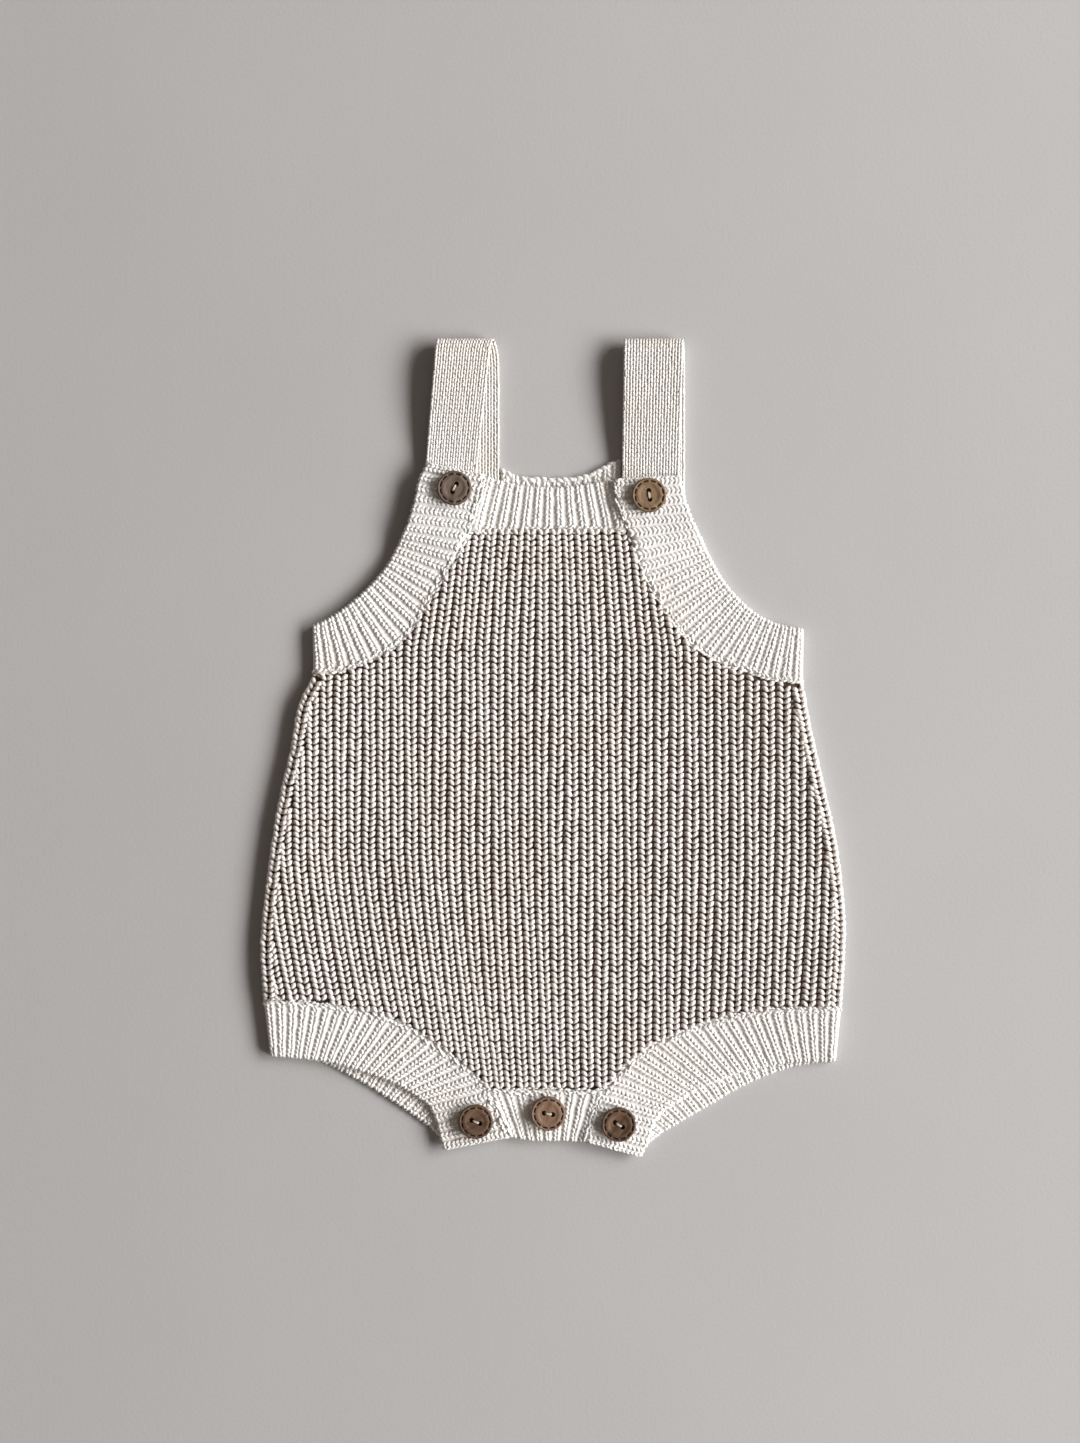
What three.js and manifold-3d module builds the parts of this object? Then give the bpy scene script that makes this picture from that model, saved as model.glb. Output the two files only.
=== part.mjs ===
// Baby romper laid flat on a surface: a knitted body with ribbed bands, two folded straps and five
// two-hole buttons. Millimetres, +Z up. The surface is z = 0, +Y runs to the straps and +X to the
// right as seen from above. The origin is the bottom centre of the garment.
import * as THREE from "three";
import { mergeVertices } from "three/addons/utils/BufferGeometryUtils.js";
import Module from "manifold-3d";

const wasm = await Module();
wasm.setup();

// ---- Driving sizes -------------------------------------------------------------------------------
const BODY_WALL = 3.0; // fisherman's rib of the two body panels
const BAND_WALL = 2.2; // fine rib of the bands, plain knit of the straps
const SEAM_GAP = 0.3; // between pieces that are sewn edge to edge
const LAYER_GAP = 0.3; // between pieces that lie on each other

const FRONT_BODY_UNDER = BODY_WALL + LAYER_GAP;
const FRONT_BAND_UNDER = BAND_WALL + LAYER_GAP;
const TAB_UNDER = 2 * (BAND_WALL + LAYER_GAP); // a shoulder tab lies on two runs of its strap
const NECKBAND_END_LIFT = 1.3; // the neckband climbs this much towards the shoulder tabs
const NECKBAND_LIFT_REACH = 9;

const PUFF = 1.8; // the middle of the front body stands this much higher than its seams
const BODY_ROLL = 7; // width over which a side edge rounds away
const BAND_ROLL = 3.5;
const EDGE_SHARE = 0.3; // share of a wall that is left at a rounded edge

const BUTTON_RADIUS = 7.5;
const BUTTON_THICKNESS = 2.6;
const BUTTON_EDGE = 0.7; // rounding of the button's rim
const BUTTON_SIDES = 28;
const HOLE_RADIUS = 0.95;
const HOLE_OFFSET = 1.9; // from the button's centre
const HOLE_SIDES = 10;

const ROWS = { leg: 9, side: 9, arm: 10, tab: 4 };

const COLOUR = { body: 0xcbbba6, band: 0xece4d6, button: 0x7b5f4b };

// ---- Seams and edges, seen from above ------------------------------------------------------------
// Each row is one point: x, y. Curves run smoothly through their points.
const LEG_SEAM_LEFT = [
  [-127.4, -110.5],
  [-112, -111.3],
  [-98, -112.8],
  [-80, -116.2],
  [-65, -121.5],
  [-50, -131],
  [-38, -140],
  [-29, -149.7],
];
const LEG_SEAM_RIGHT = [
  [125.8, -114.2],
  [108, -114.2],
  [92, -115.2],
  [76, -118],
  [60, -122.8],
  [44, -129.6],
  [31, -139.5],
  [22, -150.3],
];
const SIDE_LEFT = [
  [-127.4, -110.5],
  [-128.5, -86],
  [-126.5, -64],
  [-121.5, -28],
  [-115.2, 0],
  [-111.5, 19],
  [-105.5, 31],
];
const SIDE_RIGHT = [
  [125.8, -114.2],
  [127.6, -80],
  [124, -44],
  [117.5, -14],
  [112.6, 8],
  [109, 27.5],
];
const ARM_SEAM_LEFT = [
  [-105.5, 31],
  [-90, 33.8],
  [-74.5, 40.4],
  [-63, 49.5],
  [-53.5, 65],
  [-45.5, 78],
  [-37, 94.2],
];
const ARM_SEAM_RIGHT = [
  [109, 27.5],
  [92, 30.2],
  [77, 35.3],
  [62, 43],
  [51, 55.5],
  [42, 70],
  [31.7, 95],
];
const ARM_EDGE_LEFT = [
  [-106, 53.2],
  [-98.5, 57],
  [-87.5, 65],
  [-74, 79.3],
  [-64.6, 97.5],
];
const ARM_EDGE_RIGHT = [
  [109.4, 52],
  [98, 54.2],
  [86.5, 60.5],
  [74.5, 73.2],
  [61.6, 98],
];
const TAB_EDGE_LEFT = [
  [-64.6, 97.5],
  [-61.5, 108],
  [-59.2, 118],
  [-55.6, 124.5],
];
const TAB_EDGE_RIGHT = [
  [61.6, 98],
  [58, 107.5],
  [56.4, 114],
  [55.8, 119],
];
const TAB_SEAM_LEFT = [
  [-37, 94.2],
  [-34, 103],
  [-31.4, 111.5],
  [-29.8, 119.2],
];
const TAB_SEAM_RIGHT = [
  [31.7, 95],
  [29, 102.5],
  [27.2, 109.5],
  [25.7, 117.4],
];
const NECK_EDGE = [
  [-29.8, 119.2],
  [-19.4, 115.7],
  [-2, 114],
  [14, 115.6],
  [25.7, 117.4],
];
const NECK_SEAM = [
  [-37, 94.2],
  [31.7, 95],
];
const BACK_NECK_EDGE = [
  [-23.5, 123],
  [-17, 119.6],
  [-2, 118.4],
  [13, 119.4],
  [22, 123.8],
  [29.4, 126.8],
];
const LEG_EDGE_LEFT = [
  [-124.5, -135.5],
  [-103, -137.7],
  [-85.4, -142.2],
  [-69, -148.3],
  [-55.6, -156.6],
];
const LEG_EDGE_RIGHT = [
  [123.6, -138],
  [103, -138.8],
  [84, -142.2],
  [64, -150],
  [48.6, -159],
];
const CROTCH_TAB_EDGE_LEFT = [
  [-55.6, -156.6],
  [-52.2, -163.4],
  [-50.4, -170.5],
  [-48.6, -177],
];
const CROTCH_TAB_EDGE_RIGHT = [
  [48.6, -159],
  [44.2, -165],
  [42, -172.5],
  [38.2, -180],
];
const CROTCH_TAB_SEAM_LEFT = [
  [-29, -149.7],
  [-25.2, -157],
  [-22, -164],
  [-19.2, -171],
];
const CROTCH_TAB_SEAM_RIGHT = [
  [22, -150.3],
  [18.4, -156],
  [15.6, -164.5],
  [13.8, -173.2],
];
const CROTCH_SEAM = [
  [-29, -149.7],
  [22, -150.3],
];
const CROTCH_EDGE = [
  [-19.2, -171],
  [-10, -172.6],
  [4, -172.8],
  [13.8, -173.2],
];
// The back leg bands hang lower than the front ones and show below them.
const BACK_LEG_EDGE_LEFT = [
  [-124.5, -135.7],
  [-103, -138.4],
  [-85, -147.3],
  [-67, -158.6],
  [-54.2, -167.6],
];
const BACK_LEG_EDGE_RIGHT = [
  [123.6, -138.2],
  [106, -140.4],
  [84, -148.6],
  [64, -160],
  [47.6, -169.4],
];
const BACK_TAB_EDGE_LEFT = [
  [-54.2, -167.6],
  [-50.6, -171],
  [-48, -173.4],
];
const BACK_TAB_EDGE_RIGHT = [
  [47.6, -169.4],
  [43.6, -172.6],
  [40.4, -174.6],
];

// Soft troughs and ridges of the front body. Height is at the middle; lean is dx for each mm of y.
const FOLDS = [
  { x: 108, y: -40, length: 75, width: 7, height: -0.9, lean: -0.12 },
  { x: 90, y: -60, length: 60, width: 9, height: 0.5, lean: -0.08 },
  { x: -92, y: -55, length: 60, width: 9, height: -0.6, lean: 0.14 },
  { x: -58, y: -70, length: 50, width: 12, height: 0.5, lean: 0.18 },
  { x: 30, y: -20, length: 85, width: 12, height: -0.5, lean: 0.02 },
  { x: -28, y: 10, length: 80, width: 14, height: -0.4, lean: -0.03 },
];

// A strap's middle line seen from the side, from its sewn end on the back, round the fold, to its
// front end under the tab. Share goes from 0 to 1 between the back run's and front run's places.
const STRAP_PATH = [
  { y: 98, z: 1.1, share: 0 },
  { y: 140, z: 1.1, share: 0 },
  { y: 166, z: 1.1, share: 0 },
  { y: 174, z: 1.7, share: 0.15 },
  { y: 178.2, z: 3.9, share: 0.5 },
  { y: 175.2, z: 6.6, share: 0.75 },
  { y: 167, z: 7.2, share: 0.85 },
  { y: 150, z: 6.2, share: 0.95 },
  { y: 134, z: 4.4, share: 1 },
  { y: 126.5, z: 3.6, share: 1 },
  { y: 107, z: 3.6, share: 1 },
];
const STRAP_STEPS = 30;
const STRAPS = [
  {
    name: "strap_left",
    // The left and right edges of the run on the back, and of the front run at top and bottom.
    back: { left: -50.4, right: -24 },
    frontTop: { left: -52, right: -28.6 },
    frontEnd: { left: -57.5, right: -35 },
  },
  {
    name: "strap_right",
    back: { left: 31, right: 57.6 },
    frontTop: { left: 30.4, right: 56.2 },
    frontEnd: { left: 29.6, right: 54.6 },
  },
];

// Turn is the angle of the line through the two holes.
const BUTTONS = [
  { name: "button_shoulder_left", x: -43.6, y: 113.1, turn: 62 },
  { name: "button_shoulder_right", x: 41.4, y: 110, turn: 98 },
  { name: "button_crotch_left", x: -34.3, y: -163.7, turn: -22 },
  { name: "button_crotch_centre", x: -2.6, y: -160.2, turn: -10 },
  { name: "button_crotch_right", x: 28.2, y: -165, turn: -32 },
];

// ---- Small helpers -------------------------------------------------------------------------------
const smooth = (share) => {
  const t = Math.min(1, Math.max(0, share));
  return t * t * (3 - 2 * t);
};
const mix = (a, b, share) => a + (b - a) * share;

// Points at equal steps along a smooth curve through the table's rows.
function along(table, steps) {
  const points = table.map(([x, y]) => new THREE.Vector3(x, y, 0));
  return new THREE.CatmullRomCurve3(points, false, "centripetal").getSpacedPoints(steps);
}

// One run of points made of several, each starting where the last one ended.
const joined = (...runs) => runs.flatMap((run, i) => (i === 0 ? run : run.slice(1)));

// The points moved sideways, to the left of the way they run for a positive distance.
function moved(points, distance) {
  return points.map((point, i) => {
    const before = points[Math.max(0, i - 1)];
    const after = points[Math.min(points.length - 1, i + 1)];
    const way = after.clone().sub(before).normalize();
    return new THREE.Vector3(point.x - way.y * distance, point.y + way.x * distance, 0);
  });
}

// Share of a wall that is left at a distance from a rounded edge.
function rollShare(distance, width) {
  const t = Math.min(1, distance / width);
  return EDGE_SHARE + (1 - EDGE_SHARE) * Math.sqrt(1 - (1 - t) ** 2);
}

function foldHeight(x, y) {
  let height = 0;
  for (const fold of FOLDS) {
    const across = (x - fold.x - fold.lean * (y - fold.y)) / fold.width;
    const lengthways = (y - fold.y) / fold.length;
    height += fold.height * Math.exp(-(across ** 2) - lengthways ** 2);
  }
  return height;
}

// ---- Meshes --------------------------------------------------------------------------------------
function clothMesh(name, geometry, colour) {
  const material = new THREE.MeshStandardMaterial({ color: colour, roughness: 0.95, metalness: 0 });
  const mesh = new THREE.Mesh(geometry, material);
  mesh.name = name;
  return mesh;
}

// A closed wall from a grid of places: level(i, j) gives { x, y, under, top }, i across and j along.
function wallGeometry(across, rows, level) {
  const positions = [];
  const faces = [];
  const id = (i, j, upper) => 2 * (j * across + i) + (upper ? 1 : 0);
  for (let j = 0; j < rows; j += 1) {
    for (let i = 0; i < across; i += 1) {
      const place = level(i, j);
      positions.push(place.x, place.y, place.under, place.x, place.y, place.top);
    }
  }
  const quad = (a, b, c, d) => faces.push(a, b, c, a, c, d);
  for (let j = 0; j + 1 < rows; j += 1) {
    for (let i = 0; i + 1 < across; i += 1) {
      quad(id(i, j, true), id(i + 1, j, true), id(i + 1, j + 1, true), id(i, j + 1, true));
      quad(id(i, j, false), id(i, j + 1, false), id(i + 1, j + 1, false), id(i + 1, j, false));
    }
    const last = across - 1;
    quad(id(0, j, false), id(0, j, true), id(0, j + 1, true), id(0, j + 1, false));
    quad(id(last, j, false), id(last, j + 1, false), id(last, j + 1, true), id(last, j, true));
  }
  for (let i = 0; i + 1 < across; i += 1) {
    const end = rows - 1;
    quad(id(i, 0, false), id(i + 1, 0, false), id(i + 1, 0, true), id(i, 0, true));
    quad(id(i, end, false), id(i, end, true), id(i + 1, end, true), id(i + 1, end, false));
  }
  return facingOut(positions, faces);
}

// The closed mesh with its faces turned so that its volume is positive.
function facingOut(positions, faces) {
  const corner = (i) => new THREE.Vector3().fromArray(positions, 3 * i);
  let volume = 0;
  for (let f = 0; f < faces.length; f += 3) {
    const [a, b, c] = [corner(faces[f]), corner(faces[f + 1]), corner(faces[f + 2])];
    volume += a.dot(b.cross(c));
  }
  const turned = volume < 0 ? faces.slice().reverse() : faces;
  const geometry = new THREE.BufferGeometry();
  geometry.setAttribute("position", new THREE.Float32BufferAttribute(positions, 3));
  geometry.setIndex(turned);
  return geometry;
}

// Columns of a body panel: close together in the rounded sides, even between them.
function bodyColumns(width, inner) {
  const rollSteps = [0, 0.6, 2, 4, BODY_ROLL];
  const fit = Math.min(1, width / (8 * BODY_ROLL));
  const left = rollSteps.map((step) => step * fit);
  const right = rollSteps.map((step) => width - step * fit).reverse();
  const middle = [];
  for (let i = 1; i <= inner; i += 1) {
    middle.push(mix(left.at(-1), right[0], i / (inner + 1)));
  }
  return [...left, ...middle, ...right];
}

// A body panel: rows run from the left edge's points to the right edge's.
function bodyPanel(name, inner, heights) {
  const { left, right } = bodyEdges;
  const across = bodyColumns(1, inner).length;
  const geometry = wallGeometry(across, left.length, (i, j) => {
    const width = left[j].distanceTo(right[j]);
    const place = bodyColumns(width, inner)[i];
    const u = place / width;
    const x = mix(left[j].x, right[j].x, u);
    const y = mix(left[j].y, right[j].y, u);
    const onSide = sideShare(j);
    const distance = mix(BODY_ROLL, Math.min(place, width - place), onSide);
    return { x, y, ...heights({ x, y, u, v: j / (left.length - 1), distance }) };
  });
  return clothMesh(name, geometry, COLOUR.body);
}

// 1 on the rows whose ends are the garment's sides, 0 on those that end in a sewn seam.
function sideShare(row) {
  const first = ROWS.leg;
  const last = ROWS.leg + ROWS.side;
  return row >= first && row <= last ? 1 : 0;
}

// A band: rows run from the free edge's points to the sewn edge's.
function band(name, edge, seam, columns, heights) {
  const geometry = wallGeometry(columns + 1, edge.length, (i, j) => {
    const share = i / columns;
    const x = mix(edge[j].x, seam[j].x, share);
    const y = mix(edge[j].y, seam[j].y, share);
    const rowMiddle = edge[j].clone().lerp(seam[j], 0.5);
    const firstMiddle = edge[0].clone().lerp(seam[0], 0.5);
    return { x, y, ...heights({ x, y, share, distance: rowMiddle.distanceTo(firstMiddle), row: j }) };
  });
  return clothMesh(name, geometry, COLOUR.band);
}

// ---- Runs of points that neighbours share --------------------------------------------------------
const legSeamLeft = along(LEG_SEAM_LEFT, ROWS.leg);
const legSeamRight = along(LEG_SEAM_RIGHT, ROWS.leg);
const armSeamLeft = along(ARM_SEAM_LEFT, ROWS.arm);
const armSeamRight = along(ARM_SEAM_RIGHT, ROWS.arm);
const tabSeamLeft = along(TAB_SEAM_LEFT, ROWS.tab);
const tabSeamRight = along(TAB_SEAM_RIGHT, ROWS.tab);
const crotchTabSeamLeft = along(CROTCH_TAB_SEAM_LEFT, ROWS.tab);
const crotchTabSeamRight = along(CROTCH_TAB_SEAM_RIGHT, ROWS.tab);

const reversed = (points) => points.slice().reverse();
const bodyEdges = {
  left: joined(reversed(legSeamLeft), along(SIDE_LEFT, ROWS.side), armSeamLeft),
  right: joined(reversed(legSeamRight), along(SIDE_RIGHT, ROWS.side), armSeamRight),
};

// ---- Heights -------------------------------------------------------------------------------------
function frontBodyHeights({ x, y, u, v, distance }) {
  const middle = (Math.sin(Math.PI * u) * Math.sin(Math.PI * v)) ** 0.6;
  const puff = PUFF * middle + foldHeight(x, y) * Math.min(1, 1.6 * middle);
  const top = FRONT_BODY_UNDER + BODY_WALL * rollShare(distance, BODY_ROLL) + Math.max(0, puff);
  return { under: Math.max(FRONT_BODY_UNDER, top - BODY_WALL), top };
}

function backBodyHeights({ distance }) {
  return { under: BODY_WALL * (1 - rollShare(distance, BODY_ROLL)), top: BODY_WALL };
}

function backBandHeights({ distance }) {
  return { under: BAND_WALL * (1 - rollShare(distance, BAND_ROLL)), top: BAND_WALL };
}

// From its free edge on the back band a front band climbs to the underside of the front body.
function frontBandHeights({ share, distance }) {
  const under = mix(FRONT_BAND_UNDER, FRONT_BODY_UNDER, share);
  return { under, top: under + BAND_WALL * rollShare(distance, BAND_ROLL) };
}

// A front armband also climbs on to the end of the strap, where it is the shoulder tab.
function armbandHeights(place) {
  const plain = frontBandHeights(place);
  const climb = smooth((place.row - (ROWS.arm - 2)) / 2);
  const under = mix(plain.under, TAB_UNDER, climb);
  return { under, top: under + plain.top - plain.under };
}

function neckbandHeights(place) {
  const { under } = frontBandHeights(place);
  const fromEnd = Math.min(place.x - NECK_SEAM[0][0], NECK_SEAM[1][0] - place.x);
  const lift = NECKBAND_END_LIFT * (1 - smooth(fromEnd / NECKBAND_LIFT_REACH));
  return { under: under + lift, top: under + lift + BAND_WALL };
}

const flatUnrolled = (heights) => (place) => heights({ ...place, distance: BODY_ROLL });

// ---- Pieces --------------------------------------------------------------------------------------
function armbands() {
  const sides = [
    {
      side: "left",
      edges: [ARM_EDGE_LEFT, TAB_EDGE_LEFT],
      seams: [armSeamLeft, tabSeamLeft],
      turn: 1,
    },
    {
      side: "right",
      edges: [ARM_EDGE_RIGHT, TAB_EDGE_RIGHT],
      seams: [armSeamRight, tabSeamRight],
      turn: -1,
    },
  ];
  return sides.flatMap(({ side, edges, seams, turn }) => {
    const outer = along(edges[0], ROWS.arm);
    const frontEdge = joined(outer, along(edges[1], ROWS.tab));
    const frontSeam = moved(joined(...seams), turn * SEAM_GAP);
    return [
      band(`front_armband_${side}`, frontEdge, frontSeam, 4, armbandHeights),
      band(`back_armband_${side}`, outer, moved(seams[0], turn * SEAM_GAP), 2, backBandHeights),
    ];
  });
}

function legBands() {
  const sides = [
    {
      side: "left",
      edges: [LEG_EDGE_LEFT, CROTCH_TAB_EDGE_LEFT],
      backEdges: [BACK_LEG_EDGE_LEFT, BACK_TAB_EDGE_LEFT],
      seam: joined(legSeamLeft, crotchTabSeamLeft),
      turn: -1,
    },
    {
      side: "right",
      edges: [LEG_EDGE_RIGHT, CROTCH_TAB_EDGE_RIGHT],
      backEdges: [BACK_LEG_EDGE_RIGHT, BACK_TAB_EDGE_RIGHT],
      seam: joined(legSeamRight, crotchTabSeamRight),
      turn: 1,
    },
  ];
  return sides.flatMap(({ side, edges, backEdges, seam, turn }) => {
    const sewn = moved(seam, turn * SEAM_GAP);
    const run = ([leg, tab]) => joined(along(leg, ROWS.leg), along(tab, ROWS.tab));
    return [
      band(`front_legband_${side}`, run(edges), sewn, 4, frontBandHeights),
      band(`back_legband_${side}`, run(backEdges), sewn, 2, backBandHeights),
    ];
  });
}

// The neckbands and crotch bands run from left to right between the ends of their neighbours.
function neckbands() {
  const steps = 9;
  const lifted = along(NECK_SEAM, steps).map((p) => p.clone().setY(p.y + SEAM_GAP));
  const front = ruledBetween(tabSeamLeft, tabSeamRight, along(NECK_EDGE, steps), lifted);
  const backEdge = along(BACK_NECK_EDGE, steps);
  const onSeam = (x) => {
    const [start, end] = [lifted[0], lifted.at(-1)];
    return start.clone().lerp(end, (x - start.x) / (end.x - start.x));
  };
  const backSeam = along([BACK_NECK_EDGE[0], BACK_NECK_EDGE.at(-1)], steps).map((p) => onSeam(p.x));
  return [
    band("front_neckband", front.edge, front.seam, 4, neckbandHeights),
    band("back_neckband", backEdge, backSeam, 2, flatUnrolled(backBandHeights)),
  ];
}

function crotchBands() {
  const steps = 8;
  const lowered = along(CROTCH_SEAM, steps).map((p) => p.clone().setY(p.y - SEAM_GAP));
  const rows = ruledBetween(crotchTabSeamLeft, crotchTabSeamRight, along(CROTCH_EDGE, steps), lowered);
  return [
    band("front_crotch_band", rows.edge, rows.seam, 4, flatUnrolled(frontBandHeights)),
    band("back_crotch_band", rows.edge, rows.seam, 2, flatUnrolled(backBandHeights)),
  ];
}

// Rows from a free edge to a seam whose first and last rows keep clear of two bent neighbours.
function ruledBetween(leftSeam, rightSeam, edge, seam) {
  const bulge = (run) => {
    const chord = (i) => run[0].clone().lerp(run.at(-1), i / (run.length - 1));
    return Math.max(...run.map((point, i) => Math.abs(point.x - chord(i).x)));
  };
  const inset = Math.max(bulge(leftSeam), bulge(rightSeam)) + SEAM_GAP / 2;
  const squeeze = (points) => {
    const middle = (points[0].x + points.at(-1).x) / 2;
    const half = (points.at(-1).x - points[0].x) / 2;
    return points.map((p) => p.clone().setX(middle + (p.x - middle) * (1 - inset / half)));
  };
  return { edge: squeeze(edge), seam: squeeze(seam) };
}

function strap({ name, back, frontTop, frontEnd }) {
  const path = new THREE.CatmullRomCurve3(
    STRAP_PATH.map(({ y, z, share }) => new THREE.Vector3(share, y, z)),
    false,
    "centripetal",
  );
  const stations = path.getSpacedPoints(STRAP_STEPS);
  const topY = Math.max(...STRAP_PATH.map(({ y }) => y));
  const endY = STRAP_PATH.at(-1).y;
  const rings = stations.map((station, i) => {
    const before = stations[Math.max(0, i - 1)];
    const after = stations[Math.min(stations.length - 1, i + 1)];
    const length = Math.hypot(after.y - before.y, after.z - before.z);
    // Up from the cloth's face: +z on the back run, and it turns over with the fold.
    const up = { y: -(after.z - before.z) / length, z: (after.y - before.y) / length };
    const down = (topY - station.y) / (topY - endY);
    const share = Math.min(1, Math.max(0, station.x));
    const left = mix(back.left, mix(frontTop.left, frontEnd.left, down), share);
    const right = mix(back.right, mix(frontTop.right, frontEnd.right, down), share);
    const half = BAND_WALL / 2;
    const point = (x, way) => [x, station.y + way * half * up.y, station.z + way * half * up.z];
    return [point(left, -1), point(right, -1), point(right, 1), point(left, 1)];
  });
  const positions = rings.flat(2);
  const faces = [];
  const quad = (a, b, c, d) => faces.push(a, b, c, a, c, d);
  for (let r = 0; r + 1 < rings.length; r += 1) {
    for (let k = 0; k < 4; k += 1) {
      const next = (k + 1) % 4;
      quad(4 * r + k, 4 * r + next, 4 * (r + 1) + next, 4 * (r + 1) + k);
    }
  }
  const end = 4 * (rings.length - 1);
  quad(3, 2, 1, 0);
  quad(end, end + 1, end + 2, end + 3);
  return clothMesh(name, facingOut(positions, faces), COLOUR.band);
}

// ---- Buttons -------------------------------------------------------------------------------------
// A solid from a closed three.js geometry.
function solid(geometry) {
  const bare = geometry.clone();
  bare.deleteAttribute("normal");
  bare.deleteAttribute("uv");
  const merged = mergeVertices(bare, 1e-4);
  const shape = new wasm.Mesh({
    numProp: 3,
    vertProperties: merged.attributes.position.array,
    triVerts: new Uint32Array(merged.index.array),
  });
  return new wasm.Manifold(shape);
}

function fromSolid(manifold) {
  const { vertProperties, triVerts } = manifold.getMesh();
  const geometry = new THREE.BufferGeometry();
  geometry.setAttribute("position", new THREE.BufferAttribute(vertProperties, 3));
  geometry.setIndex(new THREE.BufferAttribute(triVerts, 1));
  return geometry;
}

function buttonGeometry(turn) {
  const half = BUTTON_THICKNESS / 2;
  const inner = BUTTON_RADIUS - BUTTON_EDGE;
  const profile = [
    [0, -half],
    [inner, -half],
    [BUTTON_RADIUS, -half + BUTTON_EDGE],
    [BUTTON_RADIUS, half - BUTTON_EDGE],
    [inner, half],
    [0, half],
  ].map(([radius, height]) => new THREE.Vector2(radius, height));
  const disc = new THREE.LatheGeometry(profile, BUTTON_SIDES).rotateX(Math.PI / 2);
  let button = solid(disc);
  for (const way of [-1, 1]) {
    const angle = THREE.MathUtils.degToRad(turn);
    const hole = new THREE.CylinderGeometry(HOLE_RADIUS, HOLE_RADIUS, 2 * BUTTON_THICKNESS, HOLE_SIDES)
      .rotateX(Math.PI / 2)
      .translate(way * HOLE_OFFSET * Math.cos(angle), way * HOLE_OFFSET * Math.sin(angle), 0);
    button = button.subtract(solid(hole));
  }
  return fromSolid(button);
}

// A button lies just clear of the highest point of the band under it.
function button({ name, x, y, turn }) {
  const onShoulder = y > 0;
  const bandTop = (onShoulder ? TAB_UNDER : FRONT_BODY_UNDER) + BAND_WALL;
  const material = new THREE.MeshStandardMaterial({ color: COLOUR.button, roughness: 0.6, metalness: 0 });
  const mesh = new THREE.Mesh(buttonGeometry(turn), material);
  mesh.name = name;
  mesh.position.set(x, y, bandTop + LAYER_GAP + BUTTON_THICKNESS / 2);
  return mesh;
}

// ---- The garment ---------------------------------------------------------------------------------
const romper = new THREE.Group();
romper.add(
  bodyPanel("front_body", 9, frontBodyHeights),
  bodyPanel("back_body", 4, backBodyHeights),
  ...neckbands(),
  ...armbands(),
  ...legBands(),
  ...crotchBands(),
  ...STRAPS.map(strap),
  ...BUTTONS.map(button),
);

export default romper;
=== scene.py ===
"""Looks of the baby romper: knitted panels, bands and straps, wooden buttons, floor, light, camera.

Lengths are in millimetres until a mesh is made. +Y runs to the straps and +Z up from the surface.
"""
import math

import bpy
import numpy as np
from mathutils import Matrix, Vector


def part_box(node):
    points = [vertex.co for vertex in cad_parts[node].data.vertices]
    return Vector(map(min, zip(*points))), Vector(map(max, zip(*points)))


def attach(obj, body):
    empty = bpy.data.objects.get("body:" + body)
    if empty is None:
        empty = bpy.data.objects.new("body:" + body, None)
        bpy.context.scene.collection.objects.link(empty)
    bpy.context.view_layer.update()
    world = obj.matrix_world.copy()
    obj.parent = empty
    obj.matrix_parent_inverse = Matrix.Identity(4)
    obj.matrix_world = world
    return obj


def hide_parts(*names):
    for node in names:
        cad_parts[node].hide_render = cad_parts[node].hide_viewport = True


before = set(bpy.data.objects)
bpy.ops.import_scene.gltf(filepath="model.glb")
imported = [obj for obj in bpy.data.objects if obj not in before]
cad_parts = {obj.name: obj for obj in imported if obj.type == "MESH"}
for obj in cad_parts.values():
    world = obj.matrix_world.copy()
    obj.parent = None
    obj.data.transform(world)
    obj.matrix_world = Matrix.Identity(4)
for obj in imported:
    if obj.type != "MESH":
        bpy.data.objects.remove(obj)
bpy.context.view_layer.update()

MM = 0.001
SEED = 7

# ---- Sizes shared with the CAD part ----
BODY_WALL = 3.0
BAND_WALL = 2.2
SEAM_GAP = 0.3
LAYER_GAP = 0.3
FRONT_BODY_UNDER = BODY_WALL + LAYER_GAP
FRONT_BAND_UNDER = BAND_WALL + LAYER_GAP
TAB_UNDER = 2 * (BAND_WALL + LAYER_GAP)
NECKBAND_END_LIFT = 1.3
NECKBAND_LIFT_REACH = 9
PUFF = 1.8
BODY_ROLL = 7
BAND_ROLL = 3.5
EDGE_SHARE = 0.3
ROWS = {"leg": 9, "side": 9, "arm": 10, "tab": 4}
FINE = 6  # stations here for each row of the CAD part

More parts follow.
